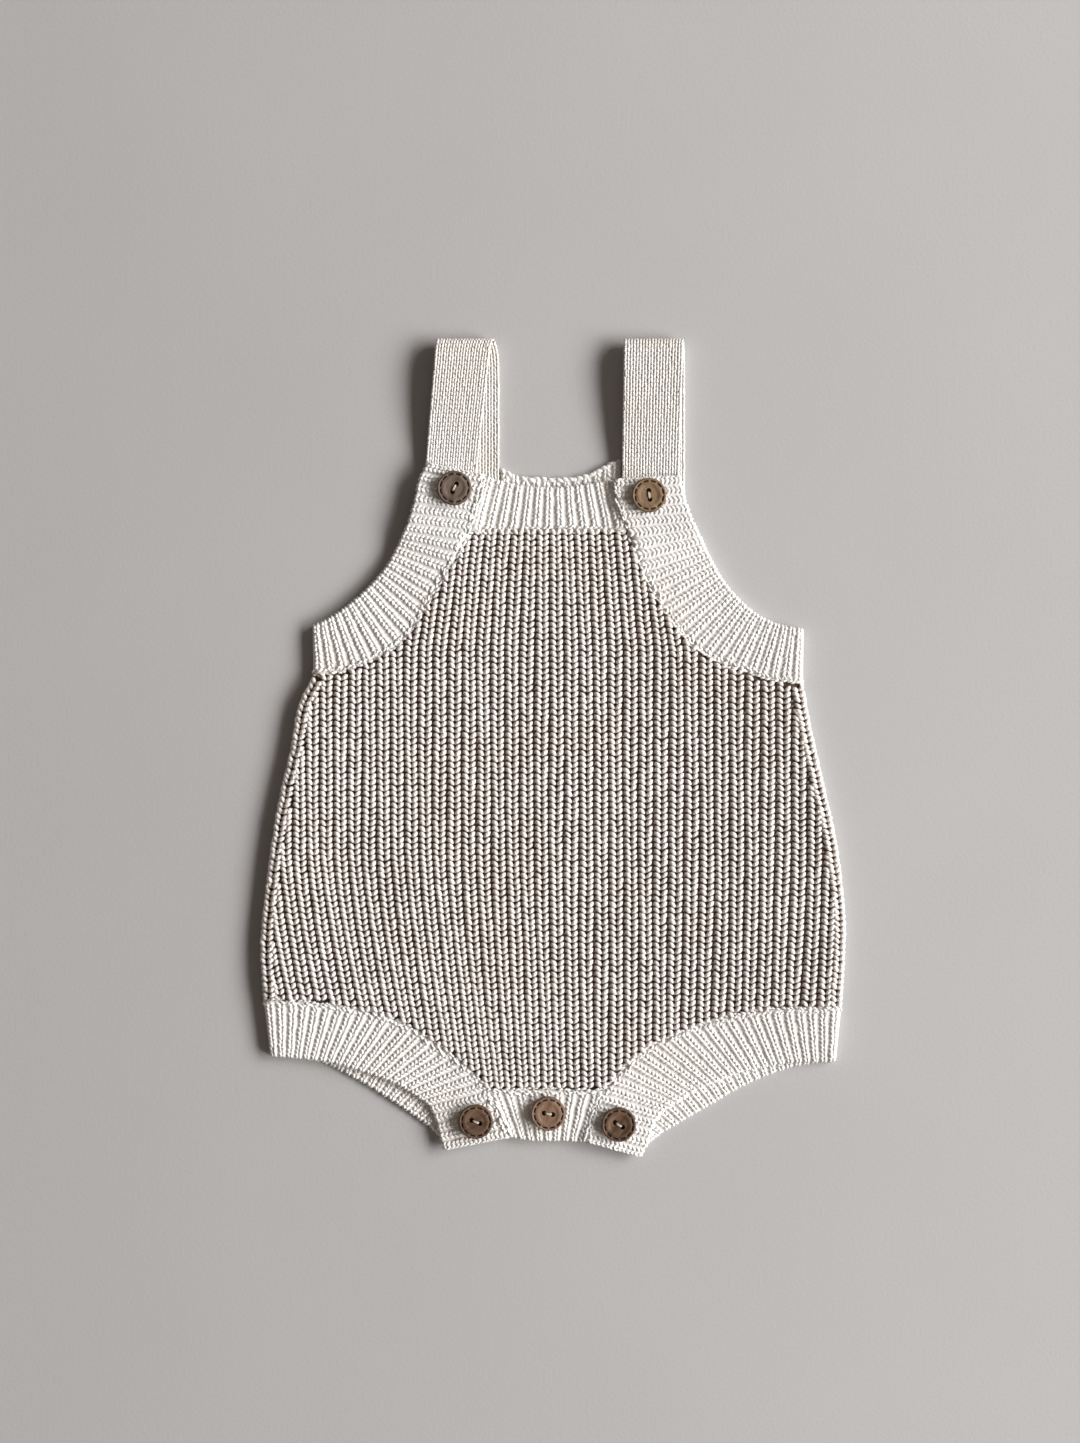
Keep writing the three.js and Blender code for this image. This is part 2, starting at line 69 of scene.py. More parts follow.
# ---- Seams and edges, seen from above: x, y ----
# Each line that the left and the right side both have: whose rows it has, its left points, its right.
LINES = {
    "leg_seam": ("leg",
        [(-127.4, -110.5), (-112, -111.3), (-98, -112.8), (-80, -116.2), (-65, -121.5), (-50, -131),
         (-38, -140), (-29, -149.7)],
        [(125.8, -114.2), (108, -114.2), (92, -115.2), (76, -118), (60, -122.8), (44, -129.6),
         (31, -139.5), (22, -150.3)]),
    "side": ("side",
        [(-127.4, -110.5), (-128.5, -86), (-126.5, -64), (-121.5, -28), (-115.2, 0), (-111.5, 19),
         (-105.5, 31)],
        [(125.8, -114.2), (127.6, -80), (124, -44), (117.5, -14), (112.6, 8), (109, 27.5)]),
    "arm_seam": ("arm",
        [(-105.5, 31), (-90, 33.8), (-74.5, 40.4), (-63, 49.5), (-53.5, 65), (-45.5, 78),
         (-37, 94.2)],
        [(109, 27.5), (92, 30.2), (77, 35.3), (62, 43), (51, 55.5), (42, 70), (31.7, 95)]),
    "arm_edge": ("arm",
        [(-106, 53.2), (-98.5, 57), (-87.5, 65), (-74, 79.3), (-64.6, 97.5)],
        [(109.4, 52), (98, 54.2), (86.5, 60.5), (74.5, 73.2), (61.6, 98)]),
    "tab_edge": ("tab",
        [(-64.6, 97.5), (-61.5, 108), (-59.2, 118), (-55.6, 124.5)],
        [(61.6, 98), (58, 107.5), (56.4, 114), (55.8, 119)]),
    "tab_seam": ("tab",
        [(-37, 94.2), (-34, 103), (-31.4, 111.5), (-29.8, 119.2)],
        [(31.7, 95), (29, 102.5), (27.2, 109.5), (25.7, 117.4)]),
    "leg_edge": ("leg",
        [(-124.5, -135.5), (-103, -137.7), (-85.4, -142.2), (-69, -148.3), (-55.6, -156.6)],
        [(123.6, -138), (103, -138.8), (84, -142.2), (64, -150), (48.6, -159)]),
    "crotch_tab_edge": ("tab",
        [(-55.6, -156.6), (-52.2, -163.4), (-50.4, -170.5), (-48.6, -177)],
        [(48.6, -159), (44.2, -165), (42, -172.5), (38.2, -180)]),
    "crotch_tab_seam": ("tab",
        [(-29, -149.7), (-25.2, -157), (-22, -164), (-19.2, -171)],
        [(22, -150.3), (18.4, -156), (15.6, -164.5), (13.8, -173.2)]),
    "back_leg_edge": ("leg",
        [(-124.5, -135.7), (-103, -138.4), (-85, -147.3), (-67, -158.6), (-54.2, -167.6)],
        [(123.6, -138.2), (106, -140.4), (84, -148.6), (64, -160), (47.6, -169.4)]),
    "back_tab_edge": ("tab",
        [(-54.2, -167.6), (-50.6, -171), (-48, -173.4)],
        [(47.6, -169.4), (43.6, -172.6), (40.4, -174.6)]),
}
NECK_EDGE = [(-29.8, 119.2), (-19.4, 115.7), (-2, 114), (14, 115.6), (25.7, 117.4)]
NECK_SEAM = [(-37, 94.2), (31.7, 95)]
BACK_NECK_EDGE = [(-23.5, 123), (-17, 119.6), (-2, 118.4), (13, 119.4), (22, 123.8), (29.4, 126.8)]
CROTCH_SEAM = [(-29, -149.7), (22, -150.3)]
CROTCH_EDGE = [(-19.2, -171), (-10, -172.6), (4, -172.8), (13.8, -173.2)]

# x, y, length, width, height at the middle, lean (dx for each mm of y)
FOLDS = [
    (108, -40, 75, 7, -0.9, -0.12),
    (90, -60, 60, 9, 0.5, -0.08),
    (-92, -55, 60, 9, -0.6, 0.14),
    (-58, -70, 50, 12, 0.5, 0.18),
    (30, -20, 85, 12, -0.5, 0.02),
    (-28, 10, 80, 14, -0.4, -0.03),
]

# A strap's middle line: y, z, share of the way from the back run's place to the front run's.
STRAP_PATH = [
    (98, 1.1, 0), (140, 1.1, 0), (166, 1.1, 0), (174, 1.7, 0.15), (178.2, 3.9, 0.5),
    (175.2, 6.6, 0.75), (167, 7.2, 0.85), (150, 6.2, 0.95), (134, 4.4, 1), (126.5, 3.6, 1),
    (107, 3.6, 1),
]
# Left and right edges of the back run, of the front run at its top and at its end.
STRAPS = {
    "strap_left": ((-50.4, -24), (-52, -28.6), (-57.5, -35)),
    "strap_right": ((31, 57.6), (30.4, 56.2), (29.6, 54.6)),
}

# ---- Knit ----
RIB_MIDDLE = -2.2  # x of the valley that the body's ribs are counted from
RIB_PITCH = 6.45
RIB_SPREAD = 0.011  # the ribs are a little wider towards the right
BODY_ROW = 2.55
BAND_PITCH = 4.4
BAND_ROW = 1.95
NECK_RIBS = 13
CROTCH_RIBS = 9
STRAP_COLUMNS = 10
STRAP_ROW = 1.9
STRAP_EDGE_ROW = 1.35 * STRAP_ROW
SEAM_ROW = 1.95
SEAM_LIFT = 0.25  # the linking loops' line over the band's upper face
CAST_OFF_ROW = 3.1
EDGE_RIB = 2.2  # from a side edge's fold to the middle of the rib that runs along it
SIDE_MARGIN = 4.7  # from a side edge to the nearest leg of another rib
LEG_MIDDLE = 1.2  # from a rib's middle line to the middle of its legs
PURL_PLACE = 0.08  # a purl bump's place beside the middle of its valley, in ribs
FOLD_CHAIN_INSET = 0.1  # from the outline in to the stitches that cover the side fold
LOW_CHAIN_INSET, LOW_CHAIN_DROP = 0.9, 1.8  # from those stitches to the row under them
# How far in from its edge a back band has stitches on its upper face.
UPPER_REACH = {"back_legband_left": 17, "back_legband_right": 17, "back_neckband": 9}
OTHER_UPPER_REACH = 3.0

# One leg of a stitch as it rises out of the loop below and goes over to the next. Columns: to the
# side, along the rib, height over the face of the cloth, radius.
BODY_LEG = [
    (0.34, -0.02, -2.15, 0.44), (0.66, 0.46, -1.12, 0.82), (1.28, 1.08, -0.78, 1.06),
    (2.00, 1.72, -0.92, 1.04), (2.52, 2.30, -1.95, 0.62),
]
BACK_LEG = [(0.50, -0.4, -1.5, 0.6), (1.10, 1.0, -0.80, 0.80), (1.90, 2.5, -1.5, 0.6)]
PURL_BUMP = [(-1.0, -0.35, -2.4, 0.45), (0.0, 0.0, -1.62, 0.60), (1.0, 0.35, -2.4, 0.45)]
BODY_SIDE_LEG = [
    (0.45, -0.55, -1.1, 0.45), (0.66, 0.12, -0.45, 0.62), (1.05, 0.98, -0.30, 0.72),
    (1.45, 1.85, -0.50, 0.66), (1.75, 2.60, -1.2, 0.45),
]
BAND_LEG = [
    (0.30, -0.30, -1.15, 0.44), (0.48, 0.35, -0.56, 0.72), (0.94, 1.15, -0.54, 0.86),
    (1.42, 1.88, -1.05, 0.62),
]
LIGHT_BAND_LEG = [(0.3, -0.5, -1.0, 0.5), (0.9, 0.8, -0.62, 0.62), (1.4, 2.0, -1.0, 0.5)]
BAND_END_LEG = [
    (0.25, -0.42, -0.75, 0.34), (0.45, 0.32, -0.30, 0.52), (0.75, 1.20, -0.30, 0.56),
    (0.98, 1.98, -0.80, 0.40),
]
STRAP_LEG = [
    (0.42, -0.45, -0.92, 0.46), (0.50, 0.35, -0.54, 0.62), (0.72, 1.25, -0.54, 0.64),
    (0.88, 2.00, -0.95, 0.48),
]
STRAP_EDGE_LEG = [
    (0.15, -0.6, -0.75, 0.38), (0.50, 0.4, -0.40, 0.52), (0.55, 1.6, -0.40, 0.52),
    (0.2, 2.9, -0.75, 0.38),
]
# One side of a linking loop over a seam.
SEAM_LOOP = [
    (0.05, -0.70, -1.25, 0.42), (0.66, -0.05, -0.55, 0.58), (1.00, 0.85, -0.55, 0.58),
    (0.58, 1.70, -1.35, 0.42),
]
# A cast-off loop that lies over a band's free edge.
CAST_OFF_LOOP = [
    (-0.75, -1.50, -0.9, 0.60), (-0.25, -0.40, -0.05, 0.98), (0.30, 1.00, -0.05, 1.02),
    (0.75, 2.40, -0.9, 0.62),
]

# ---- Small helpers ----
rng = np.random.default_rng(SEED)


def smooth(share):
    t = np.clip(share, 0.0, 1.0)
    return t * t * (3 - 2 * t)


def mix(a, b, share):
    return a + (b - a) * share


def unit(vectors):
    return vectors / np.maximum(np.linalg.norm(vectors, axis=-1, keepdims=True), 1e-9)


def along(table, steps):
    """Points at equal steps along the centripetal Catmull-Rom curve through the table's rows."""
    points = np.array(table, float)
    first = 2 * points[0] - points[1]
    last = 2 * points[-1] - points[-2]
    knots = np.vstack([first, points, last])
    dense = []
    t = np.linspace(0, 1, 40, endpoint=False)[:, None]
    for p0, p1, p2, p3 in zip(knots, knots[1:], knots[2:], knots[3:]):
        d0, d1, d2 = (np.linalg.norm(q - p) ** 0.5 for p, q in ((p0, p1), (p1, p2), (p2, p3)))
        m1 = ((p1 - p0) / d0 - (p2 - p0) / (d0 + d1) + (p2 - p1) / d1) * d1
        m2 = ((p2 - p1) / d1 - (p3 - p1) / (d1 + d2) + (p3 - p2) / d2) * d1
        a = 2 * p1 - 2 * p2 + m1 + m2
        b = -3 * p1 + 3 * p2 - 2 * m1 - m2
        dense.append(a * t**3 + b * t**2 + m1 * t + p1)
    dense = np.vstack(dense + [points[-1:]])
    length = lengths(dense)
    even = np.linspace(0, length[-1], steps + 1)
    return np.stack([np.interp(even, length, dense[:, k]) for k in range(dense.shape[1])], axis=1)


def lengths(points):
    """Distance run at each point of a line."""
    return np.concatenate([[0], np.cumsum(np.linalg.norm(np.diff(points, axis=0), axis=1))])


def joined(*runs):
    """Lines that follow each other, as one line."""
    return np.vstack([runs[0]] + [run[1:] for run in runs[1:]])


def lifted(flat, z):
    """Flat places with their heights."""
    return np.concatenate([flat, z[..., None]], axis=-1)


def facing(points, *direction):
    """The same direction for each of the points."""
    return np.broadcast_to(np.array(direction, float), points.shape)


def paired(a, b):
    return np.broadcast_arrays(np.asarray(a, float), np.asarray(b, float))


def all_pairs(a, b):
    """Each a with each b, as two flat arrays."""
    return (grid.ravel() for grid in np.meshgrid(a, b))


def moved(points, distance):
    """The line moved sideways, to the left of the way it runs for a positive distance."""
    way = unit(np.gradient(points, axis=0))
    return points + distance * np.stack([-way[:, 1], way[:, 0]], axis=1)


def roll_share(distance, width):
    t = np.minimum(1, np.maximum(distance, 0) / width)
    return EDGE_SHARE + (1 - EDGE_SHARE) * np.sqrt(1 - (1 - t) ** 2)


# ---- Meshes ----
def mesh_object(name, vertices, quads, material, uv, shade=None, attribute="rise"):
    """A smooth mesh of quads. uv is (quads, 4, 2); shade is one value a vertex, for the material."""
    mesh = bpy.data.meshes.new(name)
    mesh.vertices.add(len(vertices))
    mesh.vertices.foreach_set("co", (np.asarray(vertices) * MM).astype(np.float32).ravel())
    mesh.loops.add(quads.size)
    mesh.loops.foreach_set("vertex_index", quads.astype(np.int32).ravel())
    mesh.polygons.add(len(quads))
    mesh.polygons.foreach_set("loop_start", np.arange(0, quads.size, 4, dtype=np.int32))
    mesh.update(calc_edges=True)
    mesh.polygons.foreach_set("use_smooth", np.ones(len(quads), bool))
    layer = mesh.uv_layers.new(name="UVMap")
    layer.data.foreach_set("uv", uv.astype(np.float32).ravel())
    if shade is not None:
        values = mesh.attributes.new(attribute, "FLOAT", "POINT")
        values.data.foreach_set("value", shade.astype(np.float32))
    mesh.materials.append(material)
    thing = bpy.data.objects.new(name, mesh)
    bpy.context.scene.collection.objects.link(thing)
    return thing


def tubes(centres, ups, radii, heights, sides):
    """N bent tubes of K rings: centres and ups (N, K, 3), radii and heights (N, K).

    Gives a bundle: vertices, quads, uv, and the rise of each vertex over the face of the cloth.
    """
    count, rings, _ = centres.shape
    way = unit(np.gradient(centres, axis=1))
    across = unit(np.cross(ups, way))
    over = np.cross(way, across)
    angle = 2 * math.pi * (np.arange(sides) + 0.5) / sides
    ring = np.cos(angle)[:, None] * across[:, :, None] + np.sin(angle)[:, None] * over[:, :, None]
    vertices = centres[:, :, None, :] + radii[:, :, None, None] * ring
    rise = heights[:, :, None] + radii[:, :, None] * np.sin(angle)
    base = (np.arange(count) * rings * sides)[:, None, None]
    j = (np.arange(rings - 1) * sides)[None, :, None]
    i = np.arange(sides)[None, None, :]
    following = (i + 1) % sides
    quads = np.stack([base + j + i, base + j + sides + i, base + j + sides + following,
                      base + j + following], axis=-1)
    run = np.cumsum(np.linalg.norm(np.diff(centres, axis=1, prepend=centres[:, :1]), axis=2), axis=1)
    start = rng.uniform(0, 3, count)[:, None]
    u0, u1 = (np.broadcast_to((run[:, part] + start)[:, :, None], quads.shape[:3])
              for part in (slice(None, -1), slice(1, None)))
    v0 = np.broadcast_to(i / sides, quads.shape[:3])
    v1 = v0 + 1 / sides
    corners = ((u0, v0), (u1, v0), (u1, v1), (u0, v1))
    uv = np.stack([np.stack(corner, -1) for corner in corners], axis=-2)
    return vertices.reshape(-1, 3), quads.reshape(-1, 4), uv.reshape(-1, 4, 2), rise.reshape(-1)


def bundled(name, bundles, material):
    """One mesh object from many bundles of tubes."""
    vertices, quads, uvs, rises = zip(*bundles)
    offsets = np.cumsum([0] + [len(part) for part in vertices[:-1]])
    quads = [part + offset for part, offset in zip(quads, offsets)]
    return mesh_object(name, np.vstack(vertices), np.vstack(quads), material, np.vstack(uvs),
                       np.concatenate(rises))


def legs(place, anchors, path, ways, sides=5, jitter=0.08):
    """Stitch legs at the anchors (N, 2) of a surface; place(a, b) gives points and normals.

    Ways are 1 and -1, for the right and the left leg of a stitch.
    """
    side, run, height, radius = np.array(path, float).T
    bundles = []
    count = len(anchors)
    for way in ways:
        shift = rng.normal(0, jitter, (count, 3))
        fat = 1 + rng.normal(0, 0.06, (count, 1))
        a = anchors[:, :1] + way * side + shift[:, :1]
        b = anchors[:, 1:] + run + shift[:, 1:2]
        points, ups = place(a, b)
        heights = height + 0.6 * shift[:, 2:]
        centres = points + ups * heights[..., None]
        centres[..., 2] = np.maximum(centres[..., 2], radius * fat)
        bundles.append(tubes(centres, ups, radius * fat, heights, sides))
    return bundles


def closed_wall(name, top, under, material, rise):
    """A closed wall between two grids of points (rows, columns, 3)."""
    rows, columns, _ = top.shape
    vertices = np.concatenate([top.reshape(-1, 3), under.reshape(-1, 3)])
    index = np.arange(rows * columns).reshape(rows, columns)
    low = index + rows * columns

    def strip(a, b):
        return np.stack([a[:-1], a[1:], b[1:], b[:-1]], axis=-1)

    quads = [
        np.stack([index[:-1, :-1], index[:-1, 1:], index[1:, 1:], index[1:, :-1]], -1).reshape(-1, 4),
        np.stack([low[:-1, :-1], low[1:, :-1], low[1:, 1:], low[:-1, 1:]], -1).reshape(-1, 4),
        strip(low[0], index[0]),
        strip(index[-1], low[-1]),
        strip(index[:, 0], low[:, 0]),
        strip(low[:, -1], index[:, -1]),
    ]
    quads = np.vstack(quads)
    corners = vertices[quads]
    normal = np.cross(corners[:, 1] - corners[:, 0], corners[:, 2] - corners[:, 0])
    if np.einsum("ij,ij->", normal, corners[:, 0]) < 0:
        quads = quads[:, ::-1]
    uv = vertices[quads][:, :, :2] * 0.01
    return mesh_object(name, vertices, quads, material, uv, np.full(len(vertices), rise))


# ---- The body's form ----
SIDES = ("left", "right")
line = {(name, side): along(points, ROWS[rows] * FINE)
        for name, (rows, *both) in LINES.items() for side, points in zip(SIDES, both)}


def run_of(names, side):
    """Lines of one side that follow each other."""
    return joined(*(line[name, side] for name in names))


body_left, body_right = (joined(line["leg_seam", side][::-1], run_of(("side", "arm_seam"), side))
                         for side in SIDES)
SIDE_LOW, SIDE_HIGH = -110.0, 29.0  # y where the rounded sides begin and end
SHELL_COLUMNS = 110
# How deep in the knit the shells lie, for their colour: painted shade, so the shells show dark between
# the stitches.
BODY_SHELL_RISE, BAND_SHELL_RISE, STRAP_SHELL_RISE = -2.3, -0.95, -0.8


def edge_x(run, y):
    """x of a body edge at a height y. Both edges only ever climb."""
    climbing = np.maximum.accumulate(run[:, 1] + np.arange(len(run)) * 1e-6)
    return np.interp(y, climbing, run[:, 0])


def inside_body(x, y, margin):
    """Whether a point lies in the body panel, at least about margin from its outline."""
    result = np.ones(np.broadcast(x, y).shape, bool)
    for dx, dy in ((-margin, 0), (margin, 0), (0, -margin), (0, margin)):
        px, py = x + dx, y + dy
        result &= (px > edge_x(body_left, py)) & (px < edge_x(body_right, py))
        result &= (py > body_left[0, 1]) & (py < body_left[-1, 1] + 0.5)
    return result


def fold_height(x, y):
    height = np.zeros(np.broadcast(x, y).shape)
    for fx, fy, length, width, depth, lean in FOLDS:
        across = (x - fx - lean * (y - fy)) / width
        lengthways = (y - fy) / length
        height += depth * np.exp(-(across**2) - lengthways**2)
    return height


def body_side_distance(x, y):
    """Distance to the rounded side edge, or BODY_ROLL where the edge is a sewn seam."""
    near = np.minimum(x - edge_x(body_left, y), edge_x(body_right, y) - x)
    on_side = smooth((y - SIDE_LOW) / 6 + 1) * smooth((SIDE_HIGH - y) / 6 + 1)
    return np.maximum(mix(BODY_ROLL, near, on_side), 0)


def body_middle(x, y):
    left, right = edge_x(body_left, y), edge_x(body_right, y)
    u = np.clip((x - left) / np.maximum(right - left, 1), 0, 1)
    v = np.clip((y - body_left[0, 1]) / (body_left[-1, 1] - body_left[0, 1]), 0, 1)
    return (np.sin(math.pi * u) * np.sin(math.pi * v)) ** 0.6


def front_body_top(x, y):
    middle = body_middle(x, y)
    puff = PUFF * middle + fold_height(x, y) * np.minimum(1, 1.6 * middle)
    wall = BODY_WALL * roll_share(body_side_distance(x, y), BODY_ROLL)
    return FRONT_BODY_UNDER + wall + np.maximum(0, puff)


def back_body_under(x, y):
    return BODY_WALL * (1 - roll_share(body_side_distance(x, y), BODY_ROLL))


def rib_place(rib, y):
    """x of a rib line: rib counts from the middle valley, in ribs."""
    offset = RIB_PITCH * rib + RIB_SPREAD * rib * rib
    narrowing = np.interp(y, [43, 82, 94], [1, 0.91, 0.87])
    sag = np.clip((-45 - y) / 66, 0, 1.6) ** 1.4
    bend = np.interp(offset, [-118, -100, -75, -51, -26, 0, 118], [9.9, 9.7, 8.8, 6.2, 3.5, 0.9, -2.5])
    wander = 0.25 * np.sin(y / 31 + rib * 0.9) + 0.15 * np.sin(y / 13 + rib * 2.3)
    return RIB_MIDDLE + offset * narrowing + bend * sag + wander


STEP, SLOPE_CAP = 0.4, 2.5  # for slopes of a height field


def surface(height_at, way):
    """Points and normals of a height field, for a body's front (way 1) or back (way -1)."""

    def place(x, y):
        z = height_at(x, y)
        dx = (height_at(x + STEP, y) - height_at(x - STEP, y)) / (2 * STEP)
        dy = (height_at(x, y + STEP) - height_at(x, y - STEP)) / (2 * STEP)
        dx, dy = np.clip(dx, -SLOPE_CAP, SLOPE_CAP), np.clip(dy, -SLOPE_CAP, SLOPE_CAP)
        normal = way * unit(np.stack([-dx, -dy, np.ones_like(z)], axis=-1))
        return np.stack([x, y, z], axis=-1), normal

    return place


def body_patch(height_at, way):
    """Places by rib line and row: a is mm across from the middle valley, b is y."""
    field = surface(height_at, way)

    def place(a, b):
        rib = a / RIB_PITCH
        return field(rib_place(rib, b), b + 0 * a)

    return place


def body_anchors(offset, row_shift, margin, aside=0.0):
    """Stitch places (a, b) on rib lines, kept where the point aside from them lies in the panel."""
    ribs = np.arange(-24, 24) + offset
    rows = np.arange(body_left[0, 1] - 2, body_left[-1, 1] + 2, BODY_ROW) + row_shift
    a, b = all_pairs(ribs * RIB_PITCH, rows)
    b = b + rng.normal(0, 0.05, b.shape)
    middle = b + BODY_ROW / 2
    x = rib_place(a / RIB_PITCH, middle) + aside
    keep = inside_body(x, middle, margin) & (body_side_distance(x, middle) > SIDE_MARGIN)
    return np.stack([a, b], axis=1)[keep]


def body_shell(name, material, top_at, under_at):
    """The panel itself: a thin wall that the stitches lie on."""
    left, right = body_left[:: FINE // 2], body_right[:: FINE // 2]
    share = np.linspace(0, 1, SHELL_COLUMNS)
    ease = mix(share, (1 - np.cos(math.pi * share)) / 2, 0.15)
    x = mix(left[:, :1], right[:, :1], ease)
    y = mix(left[:, 1:], right[:, 1:], ease)
    top = np.stack([x, y, top_at(x, y)], axis=-1)
    under = np.stack([x, y, under_at(x, y)], axis=-1)
    return closed_wall(name, top, under, material, BODY_SHELL_RISE)


# ---- Bands ----
BAND_RADIUS = BAND_WALL / 2
SHELL_INSET = 0.48  # the shell's faces lie this much inside the stitches
SHELL_HALF = BAND_RADIUS - SHELL_INSET
STITCH_TO_SEAM = 0.3  # the band's stitches end this far before its seam
RIDGE = 0.14  # height of the soft ridges that a band's shell has under its ribs
# Distances from the edge of the stations round a shell's rounded edge.
EDGE_STATIONS = SHELL_INSET + SHELL_HALF * (1 - np.cos(np.linspace(0.08, 1, 5) * math.pi / 2))


def half_thickness(distance):
    """Half the thickness of a shell with a rounded edge, at a distance from the stitches' edge."""
    return SHELL_HALF * np.sqrt(1 - (1 - np.minimum(1, (distance - SHELL_INSET) / SHELL_HALF)) ** 2)


class Band:
    """A band of cloth between a rounded free edge and a sewn one.

    A place on it is a, mm along the band's middle line, and b, mm from the free edge. Below the edge
    radius b wraps round the edge towards the other face. Face is 1 for the upper face, -1 the lower.
    """

    def __init__(self, edge, seam, under_at, flat_side="under", rolled=True, ribs=None):
        self.edge = edge
        self.seam = seam
        self.under_at = under_at
        self.rolled = rolled
        self.still = 0.0 if flat_side == "under" else BAND_WALL
        self.run = lengths((edge + seam) / 2)
        self.length = self.run[-1]
        self.pitch = self.length / (ribs or round(self.length / BAND_PITCH))

    def ends(self, a):
        return [np.stack([np.interp(a, self.run, border[:, k]) for k in (0, 1)], axis=-1)
                for border in (self.edge, self.seam)]

    def width(self, a):
        edge, seam = self.ends(a)
        return np.linalg.norm(seam - edge, axis=-1)

    def ground(self, a, distance):
        """Flat place, inward way, underside height and side rounding."""
        edge, seam = self.ends(np.clip(a, 0, self.length))
        width = np.linalg.norm(seam - edge, axis=-1)
        inward = (seam - edge) / width[..., None]
        flat = edge + inward * distance[..., None]
        row = np.interp(a, self.run, np.arange(len(self.run)) / FINE)
        under = self.under_at(flat, np.clip(distance / width, 0, 1), row)
        roll = roll_share(a, BAND_ROLL) if self.rolled else np.ones_like(a)
        return flat, inward, under, roll

    def level(self, height, under, roll):
        return under + self.still + (height - self.still) * roll

    def place(self, face):
        def at(a, b):
            a, b = paired(a, b)
            turn = np.clip((BAND_RADIUS - b) / BAND_RADIUS, 0, math.pi)
            distance = np.where(b < BAND_RADIUS, BAND_RADIUS * (1 - np.sin(turn)), b)
            flat, inward, under, roll = self.ground(a, distance)
            z = self.level(BAND_RADIUS * (1 + face * np.cos(turn)), under, roll)
            normal = lifted(-inward * np.sin(turn)[..., None], face * np.cos(turn))
            return lifted(flat, z), normal

        return at

    def shell(self, name, material):
        """The wall that the stitches lie on, with its ribs as soft ridges."""
        stations = np.linspace(0, self.length, int(self.length) + 2)[:, None]
        first = EDGE_STATIONS[-1]
        rest = first + np.linspace(0, 1, 8)[1:] * (self.width(stations) - first)
        distance = np.concatenate([EDGE_STATIONS + 0 * stations, rest], axis=1)
        thick = half_thickness(distance)
        a = stations + 0 * distance
        flat, _, under, roll = self.ground(a, distance)
        ridge = RIDGE * np.cos(2 * math.pi * a / self.pitch - math.pi)
        ridge = ridge * np.minimum(1, thick / SHELL_HALF)
        top = self.level(BAND_RADIUS + thick + ridge, under, roll)
        low = self.level(BAND_RADIUS - thick, under, roll)
        return closed_wall(name, lifted(flat, top), lifted(flat, low), material, BAND_SHELL_RISE)

    def anchors(self, wraps=True, reach=99.0):
        """Stitch places on the band's ribs, from round the edge to the seam or as far as reach."""
        ribs = (np.arange(round(self.length / self.pitch)) + 0.5) * self.pitch
        start = -BAND_RADIUS * 1.6 if wraps else BAND_RADIUS * 0.6
        rows = np.arange(start, min(reach, self.width(self.run).max()), BAND_ROW)
        a, b = all_pairs(ribs, rows)
        a = a + rng.normal(0, 0.06, a.shape)
        keep = b + 0.7 * BAND_ROW < self.width(a) - STITCH_TO_SEAM
        return np.stack([a, b], axis=1)[keep]


def front_band_under(flat, share, row):
    return mix(FRONT_BAND_UNDER, FRONT_BODY_UNDER, share)


def armband_under(flat, share, row):
    climb = smooth((row - (ROWS["arm"] - 2)) / 2)
    return mix(front_band_under(flat, share, row), TAB_UNDER, climb)


def neckband_under(flat, share, row):
    from_end = np.minimum(flat[..., 0] - NECK_SEAM[0][0], NECK_SEAM[1][0] - flat[..., 0])
    lift = NECKBAND_END_LIFT * (1 - smooth(from_end / NECKBAND_LIFT_REACH))
    return front_band_under(flat, share, row) + lift


def back_band_under(flat, share, row):
    return np.zeros_like(share)


SEAM_STEPS = 60


def seam_between(corners, shift=0.0):
    """The straight seam between two corners, moved along y by shift."""
    return np.linspace(*corners, SEAM_STEPS + 1) + np.array([0, shift])


ARM_SEAM, LEG_SEAM = ("arm_seam", "tab_seam"), ("leg_seam", "crotch_tab_seam")


def all_bands():
    """Every band by its CAD node's name."""
    bands = {}
    # The lines of each edge, the lines of each seam, the under side's height, the flat side.
    arm = {"front_armband": (("arm_edge", "tab_edge"), ARM_SEAM, armband_under, "under"),
           "back_armband": (("arm_edge",), ("arm_seam",), back_band_under, "top")}
    leg = {"front_legband": (("leg_edge", "crotch_tab_edge"), LEG_SEAM, front_band_under, "under"),
           "back_legband": (("back_leg_edge", "back_tab_edge"), LEG_SEAM, back_band_under, "top")}
    for kinds, side, gap in ((arm, "left", SEAM_GAP), (arm, "right", -SEAM_GAP),
                             (leg, "left", -SEAM_GAP), (leg, "right", SEAM_GAP)):
        for kind, (edge, seam, under_at, flat_side) in kinds.items():
            sewn = moved(run_of(seam, side), gap)
            bands[f"{kind}_{side}"] = Band(run_of(edge, side), sewn, under_at, flat_side)
    neck_line = seam_between(NECK_SEAM, SEAM_GAP)
    bands["front_neckband"] = Band(along(NECK_EDGE, SEAM_STEPS), neck_line, neckband_under,
                                   rolled=False, ribs=NECK_RIBS)
    back_ends = [(BACK_NECK_EDGE[k][0], neck_line[0, 1] + SEAM_GAP) for k in (0, -1)]
    bands["back_neckband"] = Band(along(BACK_NECK_EDGE, SEAM_STEPS), seam_between(back_ends),
                                  back_band_under, "top", rolled=False)
    crotch_line = seam_between(CROTCH_SEAM, -SEAM_GAP)
    crotch_edge = along(CROTCH_EDGE, SEAM_STEPS)
    bands["front_crotch_band"] = Band(crotch_edge, crotch_line, front_band_under, rolled=False,
                                      ribs=CROTCH_RIBS)
    bands["back_crotch_band"] = Band(crotch_edge, crotch_line, back_band_under, "top", rolled=False)
    return bands


